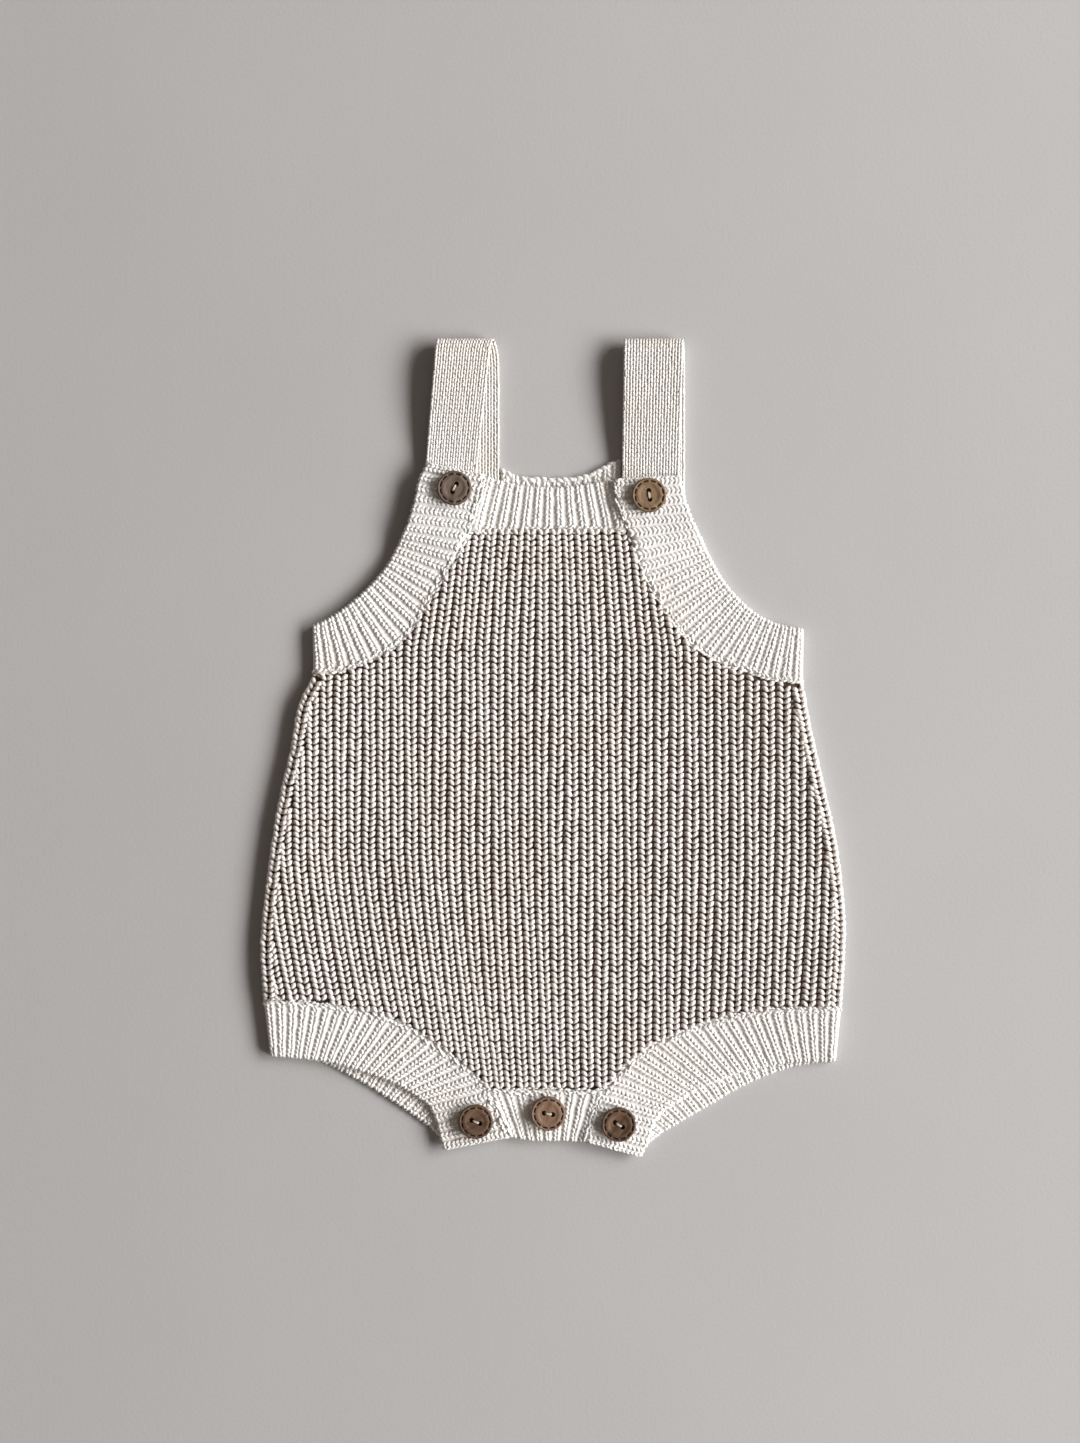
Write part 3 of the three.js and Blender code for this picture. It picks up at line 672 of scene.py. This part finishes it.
# ---- Straps ----
class Strap:
    """A folded strap. A place is a, mm across from its left edge, and b, mm along its path.

    Face is 1 for the knit face, which is outside the fold, and -1 for the purl face inside it.
    """

    def __init__(self, back, front_top, front_end):
        path = along([(share, y, z) for y, z, share in STRAP_PATH], 400)
        self.run = lengths(path[:, 1:])
        self.length = self.run[-1]
        self.share = np.clip(path[:, 0], 0, 1)
        self.y, self.z = path[:, 1], path[:, 2]
        way = unit(np.gradient(path[:, 1:], axis=0))
        self.up_y, self.up_z = -way[:, 1], way[:, 0]
        top_y = max(y for y, _, _ in STRAP_PATH)
        down = (top_y - self.y) / (top_y - STRAP_PATH[-1][0])
        self.left = mix(back[0], mix(front_top[0], front_end[0], down), self.share)
        self.right = mix(back[1], mix(front_top[1], front_end[1], down), self.share)

    def at(self, b, values):
        return np.interp(b, self.run, values)

    def width(self, b):
        return self.at(b, self.right) - self.at(b, self.left)

    def points(self, share, b, out):
        """Points at a share of the width and a distance out from the middle of the wall."""
        x = mix(self.at(b, self.left), self.at(b, self.right), share)
        y = self.at(b, self.y) - out * self.at(b, self.up_y)
        z = self.at(b, self.z) - out * self.at(b, self.up_z)
        return np.stack([x, y, z], axis=-1)

    def place(self, face):
        def at(a, b):
            a, b = paired(a, b)
            points = self.points(a / self.width(b), b, face * BAND_RADIUS)
            normal = np.stack([0 * b, -face * self.at(b, self.up_y), -face * self.at(b, self.up_z)], -1)
            return points, normal

        return at

    def edge_line(self, right):
        """The middle line of one long edge, with the way out from it."""
        b = self.run[2:-2:4]
        points = self.points(1.0 if right else 0.0, b, 0.0)
        outward = 1 if right else -1
        points[:, 0] -= 0.35 * outward
        return points, facing(points, outward, 0, 0)

    def shell(self, name, material):
        """The wall that the stitches lie on, with both its long edges rounded."""
        b = np.linspace(0, self.length, 150)[:, None]
        near = EDGE_STATIONS
        width = self.width(b)
        middle = near[-1] + np.linspace(0, 1, 22)[1:-1] * (width - 2 * near[-1])
        a = np.concatenate([near + 0 * width, middle, width - near[::-1]], axis=1)
        thick = half_thickness(np.minimum(a, width - a))
        b = b + 0 * a
        return closed_wall(name, self.points(a / width, b, -thick), self.points(a / width, b, thick),
                           material, STRAP_SHELL_RISE)

    def anchors(self, first, last):
        share = (np.arange(STRAP_COLUMNS) + 0.5) / STRAP_COLUMNS
        s, b = all_pairs(share, np.arange(first, last, STRAP_ROW))
        return np.stack([s * self.width(b), b + rng.normal(0, 0.05, b.shape)], axis=1)


# ---- Chains along a line ----
def line_patch(points, normals):
    """Places beside a line in space: a is mm to its side, b mm along it."""
    run = lengths(points)
    way = unit(np.gradient(points, axis=0))
    side = unit(np.cross(way, normals))

    def pick(b, values):
        return np.stack([np.interp(b, run, values[:, k]) for k in range(3)], axis=-1)

    def at(a, b):
        a, b = paired(a, b)
        return pick(b, points) + a[..., None] * pick(b, side), unit(pick(b, normals))

    return at, run[-1]


def chain(points, normals, row, path, ways=(-1, 1), jitter=0.14, sides=5):
    """A chain of stitches along a line."""
    at, length = line_patch(points, normals)
    rows = np.arange(0.3, length - 0.8 * row, row)
    anchors = np.stack([0 * rows, rows + rng.normal(0, 0.08, rows.shape)], axis=1)
    return legs(at, anchors, path, ways, sides=sides, jitter=jitter)


# ---- Materials ----
def linear(red, green, blue):
    """A colour given as 0 to 255, as a shader wants it."""
    parts = np.array([red, green, blue]) / 255
    low = parts / 12.92
    high = ((parts + 0.055) / 1.055) ** 2.4
    return (*np.where(parts <= 0.04045, low, high), 1.0)


class Nodes:
    """The node tree of a material or a world, with short calls to add and join nodes."""

    def __init__(self, owner, shader="Principled BSDF"):
        owner.use_nodes = True
        self.owner = owner
        self.tree = owner.node_tree
        self.shader = self.tree.nodes[shader]

    def fill(self, node, inputs):
        """Sets each input to a number or colour, or joins it to an output."""
        for key, source in inputs.items():
            if isinstance(source, bpy.types.NodeSocket):
                self.tree.links.new(source, node.inputs[key])
            else:
                node.inputs[key].default_value = source

    def add(self, kind, inputs=None, **values):
        node = self.tree.nodes.new(kind)
        for key, value in values.items():
            setattr(node, key, value)
        self.fill(node, inputs or {})
        return node

    def place(self, kind="Object"):
        return self.add("ShaderNodeTexCoord").outputs[kind]

    def split(self, vector):
        return self.add("ShaderNodeSeparateXYZ", {0: vector}).outputs

    def shade(self, attribute):
        return self.add("ShaderNodeAttribute", attribute_name=attribute).outputs["Fac"]

    def math(self, operation, first, second=0.0):
        return self.add("ShaderNodeMath", {0: first, 1: second}, operation=operation).outputs[0]

    def noise(self, place, scale, detail=2.0, stretch=(1, 1, 1)):
        vector = self.add("ShaderNodeMapping", {"Vector": place, "Scale": stretch}).outputs[0]
        inputs = {"Vector": vector, "Scale": scale, "Detail": detail}
        return self.add("ShaderNodeTexNoise", inputs).outputs["Fac"]

    def ramp(self, share, stops):
        """A colour ramp: stops are (position, colour)."""
        node = self.add("ShaderNodeValToRGB", {"Fac": share})
        points = node.color_ramp.elements
        while len(points) < len(stops):
            points.new(0.5)
        for point, (position, colour) in zip(points, stops):
            point.position = position
            point.color = colour
        return node.outputs["Color"]

    def tint(self, colour, other, share, blend="MIX"):
        inputs = {0: share, 6: colour, 7: other}
        return self.add("ShaderNodeMix", inputs, data_type="RGBA", blend_type=blend).outputs[2]

    def bump(self, height, depth, strength=1.0):
        inputs = {"Strength": strength, "Distance": depth * MM, "Height": height}
        self.fill(self.shader, {"Normal": self.add("ShaderNodeBump", inputs).outputs[0]})


def material_nodes(name):
    return Nodes(bpy.data.materials.new(name))


RISE_LOW, RISE_HIGH = -3.0, 0.6  # mm, the range of "rise" that a yarn's colour ramp covers
WHITE = (1, 1, 1, 1)


def yarn(name, stops, ply=1.5, depth=0.12, blotch=0.10):
    """A plied wool yarn. Its colour stops run from deep in the knit to its crests, as painted shade: the
    deeper the yarn lies among the stitches, the darker it is.
    """
    nodes = material_nodes(name)
    inputs = {"Value": nodes.shade("rise"), "From Min": RISE_LOW, "From Max": RISE_HIGH}
    share = nodes.add("ShaderNodeMapRange", inputs).outputs[0]
    place = nodes.place()
    specks = nodes.math("SUBTRACT", nodes.math("MULTIPLY", nodes.noise(place, 900, 3), 0.16), 0.08)
    # Painted shade: the colour darkens with the yarn's depth in the knit.
    colour = nodes.ramp(nodes.math("ADD", share, specks), [
        ((rise - RISE_LOW) / (RISE_HIGH - RISE_LOW), linear(*tone)) for rise, *tone in stops
    ])
    patches = nodes.ramp(nodes.noise(place, 55, 2), [(0.3, (*[1 - blotch] * 3, 1)), (0.7, WHITE)])
    colour = nodes.tint(colour, patches, 1.0, "MULTIPLY")
    warm = nodes.ramp(nodes.noise(place, 26, 1), [(0.35, linear(255, 253, 250)), (0.7, WHITE)])
    colour = nodes.tint(colour, warm, 1.0, "MULTIPLY")

    run, round_share, _ = nodes.split(nodes.add("ShaderNodeUVMap", uv_map="UVMap").outputs[0])
    turns = nodes.math("ADD", nodes.math("MULTIPLY", run, 1 / ply), round_share)
    twist = nodes.math("SINE", nodes.math("MULTIPLY", turns, 4 * math.pi))
    fibre = nodes.noise(place, 2600, 2)
    nodes.bump(nodes.math("ADD", nodes.math("MULTIPLY", twist, 0.35), fibre), depth)
    nodes.fill(nodes.shader, {
        "Base Color": colour, "Roughness": 0.92, "Specular IOR Level": 0.15, "Sheen Weight": 0.08,
        "Sheen Roughness": 0.6, "Sheen Tint": linear(255, 250, 242),
    })
    return nodes.owner


def wood(name, dark, light, grain, turn, contrast):
    """Sanded, oiled wood. Grain is how closely its lines lie, turn their angle in degrees."""
    nodes = material_nodes(name)
    inputs = {"Vector": nodes.place(), "Rotation": (0, 0, math.radians(turn))}
    turned = nodes.add("ShaderNodeMapping", inputs).outputs[0]
    wander = nodes.noise(turned, 90, 2, (1, 0.25, 1))
    lines = nodes.noise(turned, grain, 4, (1, 0.08, 1))
    fine = nodes.noise(turned, 5 * grain, 2, (1, 0.12, 1))
    mixed = nodes.math("ADD", nodes.math("MULTIPLY", lines, contrast),
                       nodes.math("MULTIPLY", wander, 1 - contrast))
    colour = nodes.ramp(mixed, [(0.34, linear(*dark)), (0.66, linear(*light))])
    pores = nodes.ramp(fine, [(0.36, linear(120, 100, 88)), (0.5, WHITE)])
    colour = nodes.tint(colour, pores, 0.35, "MULTIPLY")
    # Darker dashes, with painted shade in the holes and at the rim's rounded edge.
    colour = nodes.tint(colour, linear(34, 24, 18), nodes.shade("dashes_and_painted_shade"))
    rough = nodes.add("ShaderNodeMapRange", {"Value": fine, "To Min": 0.42, "To Max": 0.62})
    nodes.fill(nodes.shader, {
        "Base Color": colour, "Roughness": rough.outputs[0], "Specular IOR Level": 0.35,
    })
    nodes.bump(nodes.math("ADD", fine, lines), 0.05, 0.6)
    return nodes.owner


# Painted light: the floor's colour runs lighter from left to right, towards the window.
FLOOR_LEFT, FLOOR_RIGHT = (172, 170, 170), (192, 191, 191)


def paper_floor():
    """Pale paper, painted a little lighter towards the right: painted light from the window on that
    side.
    """
    nodes = material_nodes("floor")
    place = nodes.place()
    patches = nodes.math("MULTIPLY", nodes.noise(place, 9, 3), 0.3)
    across = nodes.math("ADD", nodes.math("MULTIPLY", nodes.split(place)[0], 2.2), patches)
    colour = nodes.ramp(nodes.math("ADD", across, 0.35), [(0.0, linear(*FLOOR_LEFT)),
                                                          (1.0, linear(*FLOOR_RIGHT))])
    nodes.bump(nodes.noise(place, 700, 3), 0.15, 0.5)
    nodes.fill(nodes.shader, {"Base Color": colour, "Roughness": 0.85, "Specular IOR Level": 0.2})
    return nodes.owner


# Yarn colours by depth, with painted shade that darkens the yarn deep in the knit: rise in mm over the
# face of the cloth, red, green, blue.
BODY_STOPS = [
    (-2.9, 50, 38, 33), (-1.9, 108, 90, 80), (-1.2, 182, 167, 158),
    (-0.5, 230, 222, 217), (0.1, 243, 239, 236),
]
BAND_STOPS = [
    (-2.6, 150, 137, 127), (-1.5, 202, 193, 184), (-0.9, 236, 233, 230),
    (-0.1, 243, 242, 240), (0.5, 247, 246, 245),
]
STRAP_STOPS = [
    (-2.6, 144, 131, 120), (-1.4, 186, 177, 167), (-0.7, 224, 220, 214),
    (-0.1, 238, 236, 233), (0.5, 243, 241, 239),
]
body_yarn = yarn("body_yarn", BODY_STOPS)
band_yarn = yarn("band_yarn", BAND_STOPS, ply=1.2, depth=0.10, blotch=0.06)
strap_yarn = yarn("strap_yarn", STRAP_STOPS, ply=1.2, depth=0.10, blotch=0.05)
seam_yarn = yarn("seam_yarn", BAND_STOPS, ply=1.0, depth=0.10, blotch=0.08)
# The thread too is painted a little darker on its underside, as shade.
thread = yarn("button_thread", [(-3.0, 176, 160, 140), (0.6, 206, 194, 176)], ply=0.8, depth=0.06,
              blotch=0.04)


# ---- The cloth pieces ----
def carry(thing):
    """Puts a piece on the part's one body."""
    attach(thing, "root")


def declare(shell, stitches, node):
    """Puts a piece's shell and stitches in the place of its CAD node, which it hides."""
    for thing in (shell, *stitches):
        carry(thing)
    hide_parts(node)


SHELL_DROP = 1.75  # the front body's shell lies this far under its stitches' crests
SHELL_LEAST = 0.35  # and at least this far over the panel's lower face
BACK_SHELL_LIFT = 0.8  # the back body's shell lies this far inside its stitches
BACK_MARGIN = 1.6  # the back body's stitches stay this far inside its outline


def side_line(run, outward):
    """The fold line of a side edge, with the way out from it."""
    points = np.column_stack([run, np.full(len(run), FRONT_BODY_UNDER - LAYER_GAP / 2)])
    points[:, 0] -= FOLD_CHAIN_INSET * outward
    return points, facing(points, outward, 0, 0)


def front_body():
    place = body_patch(front_body_top, 1)

    def shell_top(x, y):
        return np.maximum(front_body_top(x, y) - SHELL_DROP, FRONT_BODY_UNDER + SHELL_LEAST)

    def shell_under(x, y):
        return np.maximum(FRONT_BODY_UNDER, front_body_top(x, y) - BODY_WALL) + 0.05

    shell = body_shell("front_body_cloth", body_yarn, shell_top, shell_under)
    pieces = []
    for name, way in (("front_body_left_legs", -1), ("front_body_right_legs", 1)):
        anchors = body_anchors(0.5, 0.0, 0.1, way * LEG_MIDDLE)
        pieces.append(bundled(name, legs(place, anchors, BODY_LEG, [way]), body_yarn))
    low = body_anchors(PURL_PLACE, BODY_ROW / 2, 0.4)
    pieces.append(bundled("front_body_purl", legs(place, low, PURL_BUMP, [1]), body_yarn))
    sides = []
    for side, outward in zip(SIDES, (-1, 1)):
        points, normals = side_line(line["side", side], outward)
        sides += chain(points, normals, BODY_ROW, BODY_SIDE_LEG, sides=6)
        lower = points - np.array([LOW_CHAIN_INSET * outward, 0, LOW_CHAIN_DROP])
        sides += chain(lower, normals, BODY_ROW, BODY_SIDE_LEG)
        inner_x = points[:, 0] - EDGE_RIB * outward
        top, up = surface(front_body_top, 1)(inner_x, points[:, 1])
        sides += chain(top, up, BODY_ROW, BODY_LEG, sides=6)
    pieces.append(bundled("body_side_ribs", sides, body_yarn))
    declare(shell, pieces, "front_body")


def back_body():
    place = body_patch(back_body_under, -1)
    shell = body_shell("back_body_cloth", body_yarn, lambda x, y: BODY_WALL + 0 * x,
                       lambda x, y: back_body_under(x, y) + BACK_SHELL_LIFT)
    anchors = body_anchors(0.5, 0.0, BACK_MARGIN)
    stitches = bundled("back_body_ribs", legs(place, anchors, BACK_LEG, (-1, 1), sides=4), body_yarn)
    declare(shell, [stitches], "back_body")


def band_ends(name, band):
    """Ribs that close a band's two ends: the fold at the side, and the end of its button tab.

    A back band has no fold of its own, and a back armband has no tab.
    """
    stitches = []
    middle = (band.edge + band.seam) / 2
    share = np.linspace(0, 1, 30)
    for a, outward in ((0.0, middle[0] - middle[1]), (band.length, middle[-1] - middle[-2])):
        at_fold = a == 0.0
        if at_fold and name.startswith("back") or (not at_fold and name.startswith("back_armband")):
            continue
        b = 0.9 + share * (band.width(a) - 1.4)
        flat, _, under, _ = band.ground(a + 0 * b, b)
        z = FRONT_BAND_UNDER - LAYER_GAP / 2 + 0 * b if at_fold else under + BAND_RADIUS
        normals = facing(lifted(flat, z), *unit(outward), 0)
        stitches += chain(lifted(flat, z) - 0.25 * normals, normals, BAND_ROW, BAND_END_LEG)
    return stitches


def cast_off(band):
    """The plump loops that finish a free edge."""
    a = np.linspace(0.6, band.length - 0.6, 80)
    flat, inward, _, _ = band.ground(a, 0 * a + 0.9)
    normals = unit(lifted(-0.55 * inward, 0 * a + 0.85))
    points = lifted(flat, 0 * a + 1.5)
    return chain(points, normals, CAST_OFF_ROW, CAST_OFF_LOOP, [1], jitter=0.22, sides=7)


def band_piece(name, band):
    shell = band.shell(name + "_cloth", band_yarn)
    stitches = []
    if name.startswith("front"):
        stitches += legs(band.place(1), band.anchors(), BAND_LEG, (-1, 1))
    else:
        upper = band.anchors(reach=UPPER_REACH.get(name, OTHER_UPPER_REACH))
        stitches += legs(band.place(1), upper, BAND_LEG, (-1, 1))
        below = band.anchors(wraps=False)
        stitches += legs(band.place(-1), below, LIGHT_BAND_LEG, (-1, 1), sides=4)
    if band.rolled:
        stitches += band_ends(name, band)
    if name == "back_neckband":
        stitches += cast_off(band)
    ribs = bundled(name + "_ribs", stitches, band_yarn)
    width = float(band.width(band.run).mean())
    declare(shell, [ribs], name)


def strap_piece(name, edges):
    strap = Strap(*edges)
    shell = strap.shell(name + "_cloth", strap_yarn)
    knit = strap.anchors(0.6, strap.length - 1.5)
    stitches = legs(strap.place(1), knit, STRAP_LEG, (-1, 1), jitter=0.04)
    inside = strap.anchors(0.6, strap.length * 0.55)
    stitches += legs(strap.place(-1), inside, STRAP_LEG, (-1, 1), sides=4, jitter=0.04)
    for right in (False, True):
        points, normals = strap.edge_line(right)
        stitches += chain(points, normals, STRAP_EDGE_ROW, STRAP_EDGE_LEG, jitter=0.2)
    ribs = bundled(name + "_stitches", stitches, strap_yarn)
    declare(shell, [ribs], name)


def seams():
    """The rows of linking loops over the seams between the body and its bands."""
    # Path, how far it is moved sideways, the band that it joins.
    rows = {}
    for part, names, shift in (("arm", ARM_SEAM, 0.9), ("leg", LEG_SEAM, -0.6)):
        for side, way in zip(SIDES, (1, -1)):
            path = run_of(names, side)
            rows[f"{part}_seam_{side}"] = (path, way * shift, f"front_{part}band_{side}")
    rows["neck_seam"] = (seam_between(NECK_SEAM), 0.5, "front_neckband")
    rows["crotch_seam"] = (seam_between(CROTCH_SEAM), -0.5, "front_crotch_band")
    for name, (path, shift, band_name) in rows.items():
        band = bands[band_name]
        a = np.linspace(0, band.length, len(path))
        seam_top = band.place(1)(a, band.width(a))[0][:, 2]
        points = lifted(moved(path, shift), seam_top + SEAM_LIFT)
        loops = chain(points, facing(points, 0, 0, 1), SEAM_ROW, SEAM_LOOP, jitter=0.36)
        carry(bundled(name, loops, seam_yarn))


# ---- Buttons ----
BUTTON_RADIUS = 7.5
BUTTON_THICKNESS = 2.6
HOLE_RADIUS = 0.95
HOLE_OFFSET = 1.9
DASHES = 12
DASH_RING = 6.15
RIM = 0.75  # radius of the rounded rim
FLAT_RADIUS = BUTTON_RADIUS - RIM
DISH_RADIUS, DISH_DEPTH = 3.4, 0.28
RING_DEPTH = 0.12  # the ring outside the dish's edge lies this much under it
DASH_DEPTH = 0.38
THREAD_RADIUS = 0.23
THREAD_SHORT = 0.42  # the thread goes down this far before the middle of a hole
# Name, angle of the line through the holes, dark and light wood, closeness of grain, its angle,
# share of the fine lines.
BUTTONS = [
    ("button_shoulder_left", 62, (84, 69, 60), (126, 109, 96), 420, 20, 0.5),
    ("button_shoulder_right", 98, (98, 76, 56), (150, 124, 96), 380, -35, 0.5),
    ("button_crotch_left", -22, (78, 57, 43), (126, 98, 77), 420, 65, 0.5),
    ("button_crotch_centre", -10, (110, 84, 66), (160, 130, 106), 400, 10, 0.5),
    ("button_crotch_right", -32, (74, 53, 39), (136, 107, 82), 300, 40, 0.8),
]


def rings(radii, heights, angles):
    """Level circles of points, one for each radius and height."""
    r, t = np.meshgrid(radii, angles, indexing="ij")
    z = np.repeat(np.asarray(heights)[:, None], len(angles), axis=1)
    return np.stack([r * np.cos(t), r * np.sin(t), z], axis=-1)


def button(name, turn, dark, light, grain, grain_turn, contrast):
    """A dished disc with two holes, a rounded rim and a ring of engraved dashes."""
    low, high = (np.array(corner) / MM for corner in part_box(name))
    centre = (low + high) / 2
    half = BUTTON_THICKNESS / 2
    angles = np.linspace(0, 2 * math.pi, 120, endpoint=False)
    bevel = np.linspace(0, 1, 9)[1:] * math.pi / 2
    rim_radius, rim_height = FLAT_RADIUS + RIM * np.sin(bevel), half - RIM + RIM * np.cos(bevel)
    radius = np.concatenate([np.linspace(0.02, 4.8, 28), np.linspace(4.8, FLAT_RADIUS, 22)[1:],
                             rim_radius])
    height = np.full(radius.shape, half)
    height[-len(bevel):] = rim_height
    height -= DISH_DEPTH * (1 - smooth((radius - DISH_RADIUS) / 1.6))
    height -= RING_DEPTH * smooth((radius - 5.0) / 1.2) * (radius < FLAT_RADIUS + 0.01)
    top = rings(radius, height, angles)
    px, py, z = np.moveaxis(top, -1, 0)
    r, t = np.meshgrid(radius, angles, indexing="ij")
    along_dash = np.abs(((t * DASHES / (2 * math.pi)) % 1) - 0.5) * 2 * math.pi * DASH_RING / DASHES
    dash = smooth((1.20 - along_dash) / 0.3) * smooth((0.42 - np.abs(r - DASH_RING)) / 0.2)
    z = z - DASH_DEPTH * dash
    # Darker in the dashes; painted shade in and round the holes.
    dashes_and_hole_shade = dash
    for way in (-1, 1):
        hx = way * HOLE_OFFSET * math.cos(math.radians(turn))
        hy = way * HOLE_OFFSET * math.sin(math.radians(turn))
        near = np.hypot(px - hx, py - hy)
        z = z - (2 * half - 0.25) * smooth((HOLE_RADIUS + 0.10 - near) / 0.22)
        dashes_and_hole_shade = np.maximum(dashes_and_hole_shade, smooth((HOLE_RADIUS + 0.25 - near) / 0.3))
    top[..., 2] = z
    lower_rim = rings(rim_radius[-2::-1], -rim_height[-2::-1], angles)
    grid = np.concatenate([top, lower_rim, rings((6.0, 3.0, 0.02), [-half] * 3, angles)])
    rows, columns, _ = grid.shape
    index = np.arange(rows * columns).reshape(rows, columns)
    following = np.roll(index, -1, axis=1)
    quads = np.stack([index[:-1], index[1:], following[1:], following[:-1]], axis=-1).reshape(-1, 4)
    vertices = grid.reshape(-1, 3) + centre
    # Painted shade at the rim's rounded edge, added to the dashes and the holes' shade.
    dashes_and_painted_shade = np.zeros(grid.shape[:2])
    dashes_and_painted_shade[: len(radius)] = dashes_and_hole_shade + 0.55 * smooth((r - BUTTON_RADIUS + 0.5) / 0.4)
    material = wood(name, dark, light, grain, grain_turn, contrast)
    uv = vertices[quads][:, :, :2] * 0.05
    disc = mesh_object(name + "_disc", vertices, quads, material, uv, np.minimum(dashes_and_painted_shade, 1).ravel(),
                       "dashes_and_painted_shade")
    carry(disc)
    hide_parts(name)
    strands(name, centre, half, turn)


def strands(name, centre, half, turn):
    """The sewing thread between the two holes, as two strands side by side."""
    way = np.array([math.cos(math.radians(turn)), math.sin(math.radians(turn))])
    side = np.array([-way[1], way[0]])
    share = np.linspace(-1, 1, 11)
    reach = HOLE_OFFSET - THREAD_SHORT
    centres = []
    for offset, lift in ((-0.24, 0.0), (0.22, 0.1)):
        flat = centre[:2] + share[:, None] * reach * way + offset * (1 - 0.35 * share**2)[:, None] * side
        sink = np.maximum(0, np.abs(share) - 0.62) / 0.38
        arch = centre[2] + half - 0.02 + lift - 1.6 * sink**1.5
        centres.append(lifted(flat, arch))
    centres = np.array(centres)
    radii = np.full(centres.shape[:2], THREAD_RADIUS)
    tube = tubes(centres, facing(centres, 0, 0, 1), radii, 0 * radii, 8)
    carry(bundled(name + "_thread", [tube], thread))


# ---- Making the romper ----
bands = all_bands()
back_body()
front_body()
for band_name, band in bands.items():
    band_piece(band_name, band)
for strap_name, strap_edges in STRAPS.items():
    strap_piece(strap_name, strap_edges)
seams()
for row in BUTTONS:
    button(*row)

# ---- Floor, lights and camera ----
FLOOR_SIZE = 90.0  # m
SQUARE = np.array([[0, 0], [1, 0], [1, 1], [0, 1]], float)
floor_corners = lifted((SQUARE - 0.5) * FLOOR_SIZE / MM, np.zeros(4))
floor = mesh_object("floor", floor_corners, np.array([[0, 1, 2, 3]]), paper_floor(), SQUARE[None])

WINDOW_HEADINGS = (-20, 2, 24)  # degrees from +X towards +Y, the parts of one wide window
WINDOW_HEIGHT, WINDOW_SPREAD = 27, 24  # degrees over the floor, and width of each part


def sun_light(name, heading, height, spread, power, colour):
    """Light from a heading and a height over the floor, both in degrees, as wide as its spread."""
    data = bpy.data.lights.new(name, "SUN")
    data.energy = power
    data.angle = math.radians(spread)
    data.color = colour
    lamp = bpy.data.objects.new(name, data)
    turn, climb = math.radians(heading), math.radians(height)
    towards = Vector((math.cos(turn) * math.cos(climb), math.sin(turn) * math.cos(climb),
                      math.sin(climb)))
    lamp.rotation_euler = towards.to_track_quat("Z", "Y").to_euler()
    bpy.context.scene.collection.objects.link(lamp)


for heading in WINDOW_HEADINGS:
    sun_light(f"window_{heading}", heading, WINDOW_HEIGHT, WINDOW_SPREAD, 2.03, (1.0, 0.999, 0.998))
sun_light("ceiling", 0, 78, 90, 0.16, (1.0, 0.88, 0.76))
# The room: pale walls round the floor, darker higher up. Positions are the sine of the height angle.
ROOM = [(0.0, (0.42, 0.395, 0.37, 1)), (0.24, (0.32, 0.295, 0.275, 1)), (0.5, (0.07, 0.056, 0.046, 1))]


def room_world():
    """The light of the room itself, by height over the horizon."""
    nodes = Nodes(bpy.data.worlds.new("studio"), "Background")
    nodes.fill(nodes.shader, {"Color": nodes.ramp(nodes.split(nodes.place("Generated"))[2], ROOM)})
    bpy.context.scene.world = nodes.owner


room_world()

VIEW_WIDTH = 475.2  # mm of the surface across the picture
VIEW_CENTRE = (-6.2, 11.2)
CAMERA_HEIGHT = 1100.0
camera_data = bpy.data.cameras.new("camera")
camera_data.sensor_fit = "HORIZONTAL"
camera_data.sensor_width = 36
camera_data.lens = 36 * CAMERA_HEIGHT / VIEW_WIDTH
camera = bpy.data.objects.new("camera", camera_data)
camera.location = (VIEW_CENTRE[0] * MM, VIEW_CENTRE[1] * MM, CAMERA_HEIGHT * MM)
bpy.context.scene.collection.objects.link(camera)
bpy.context.scene.camera = camera
bpy.context.scene.view_settings.view_transform = "Standard"
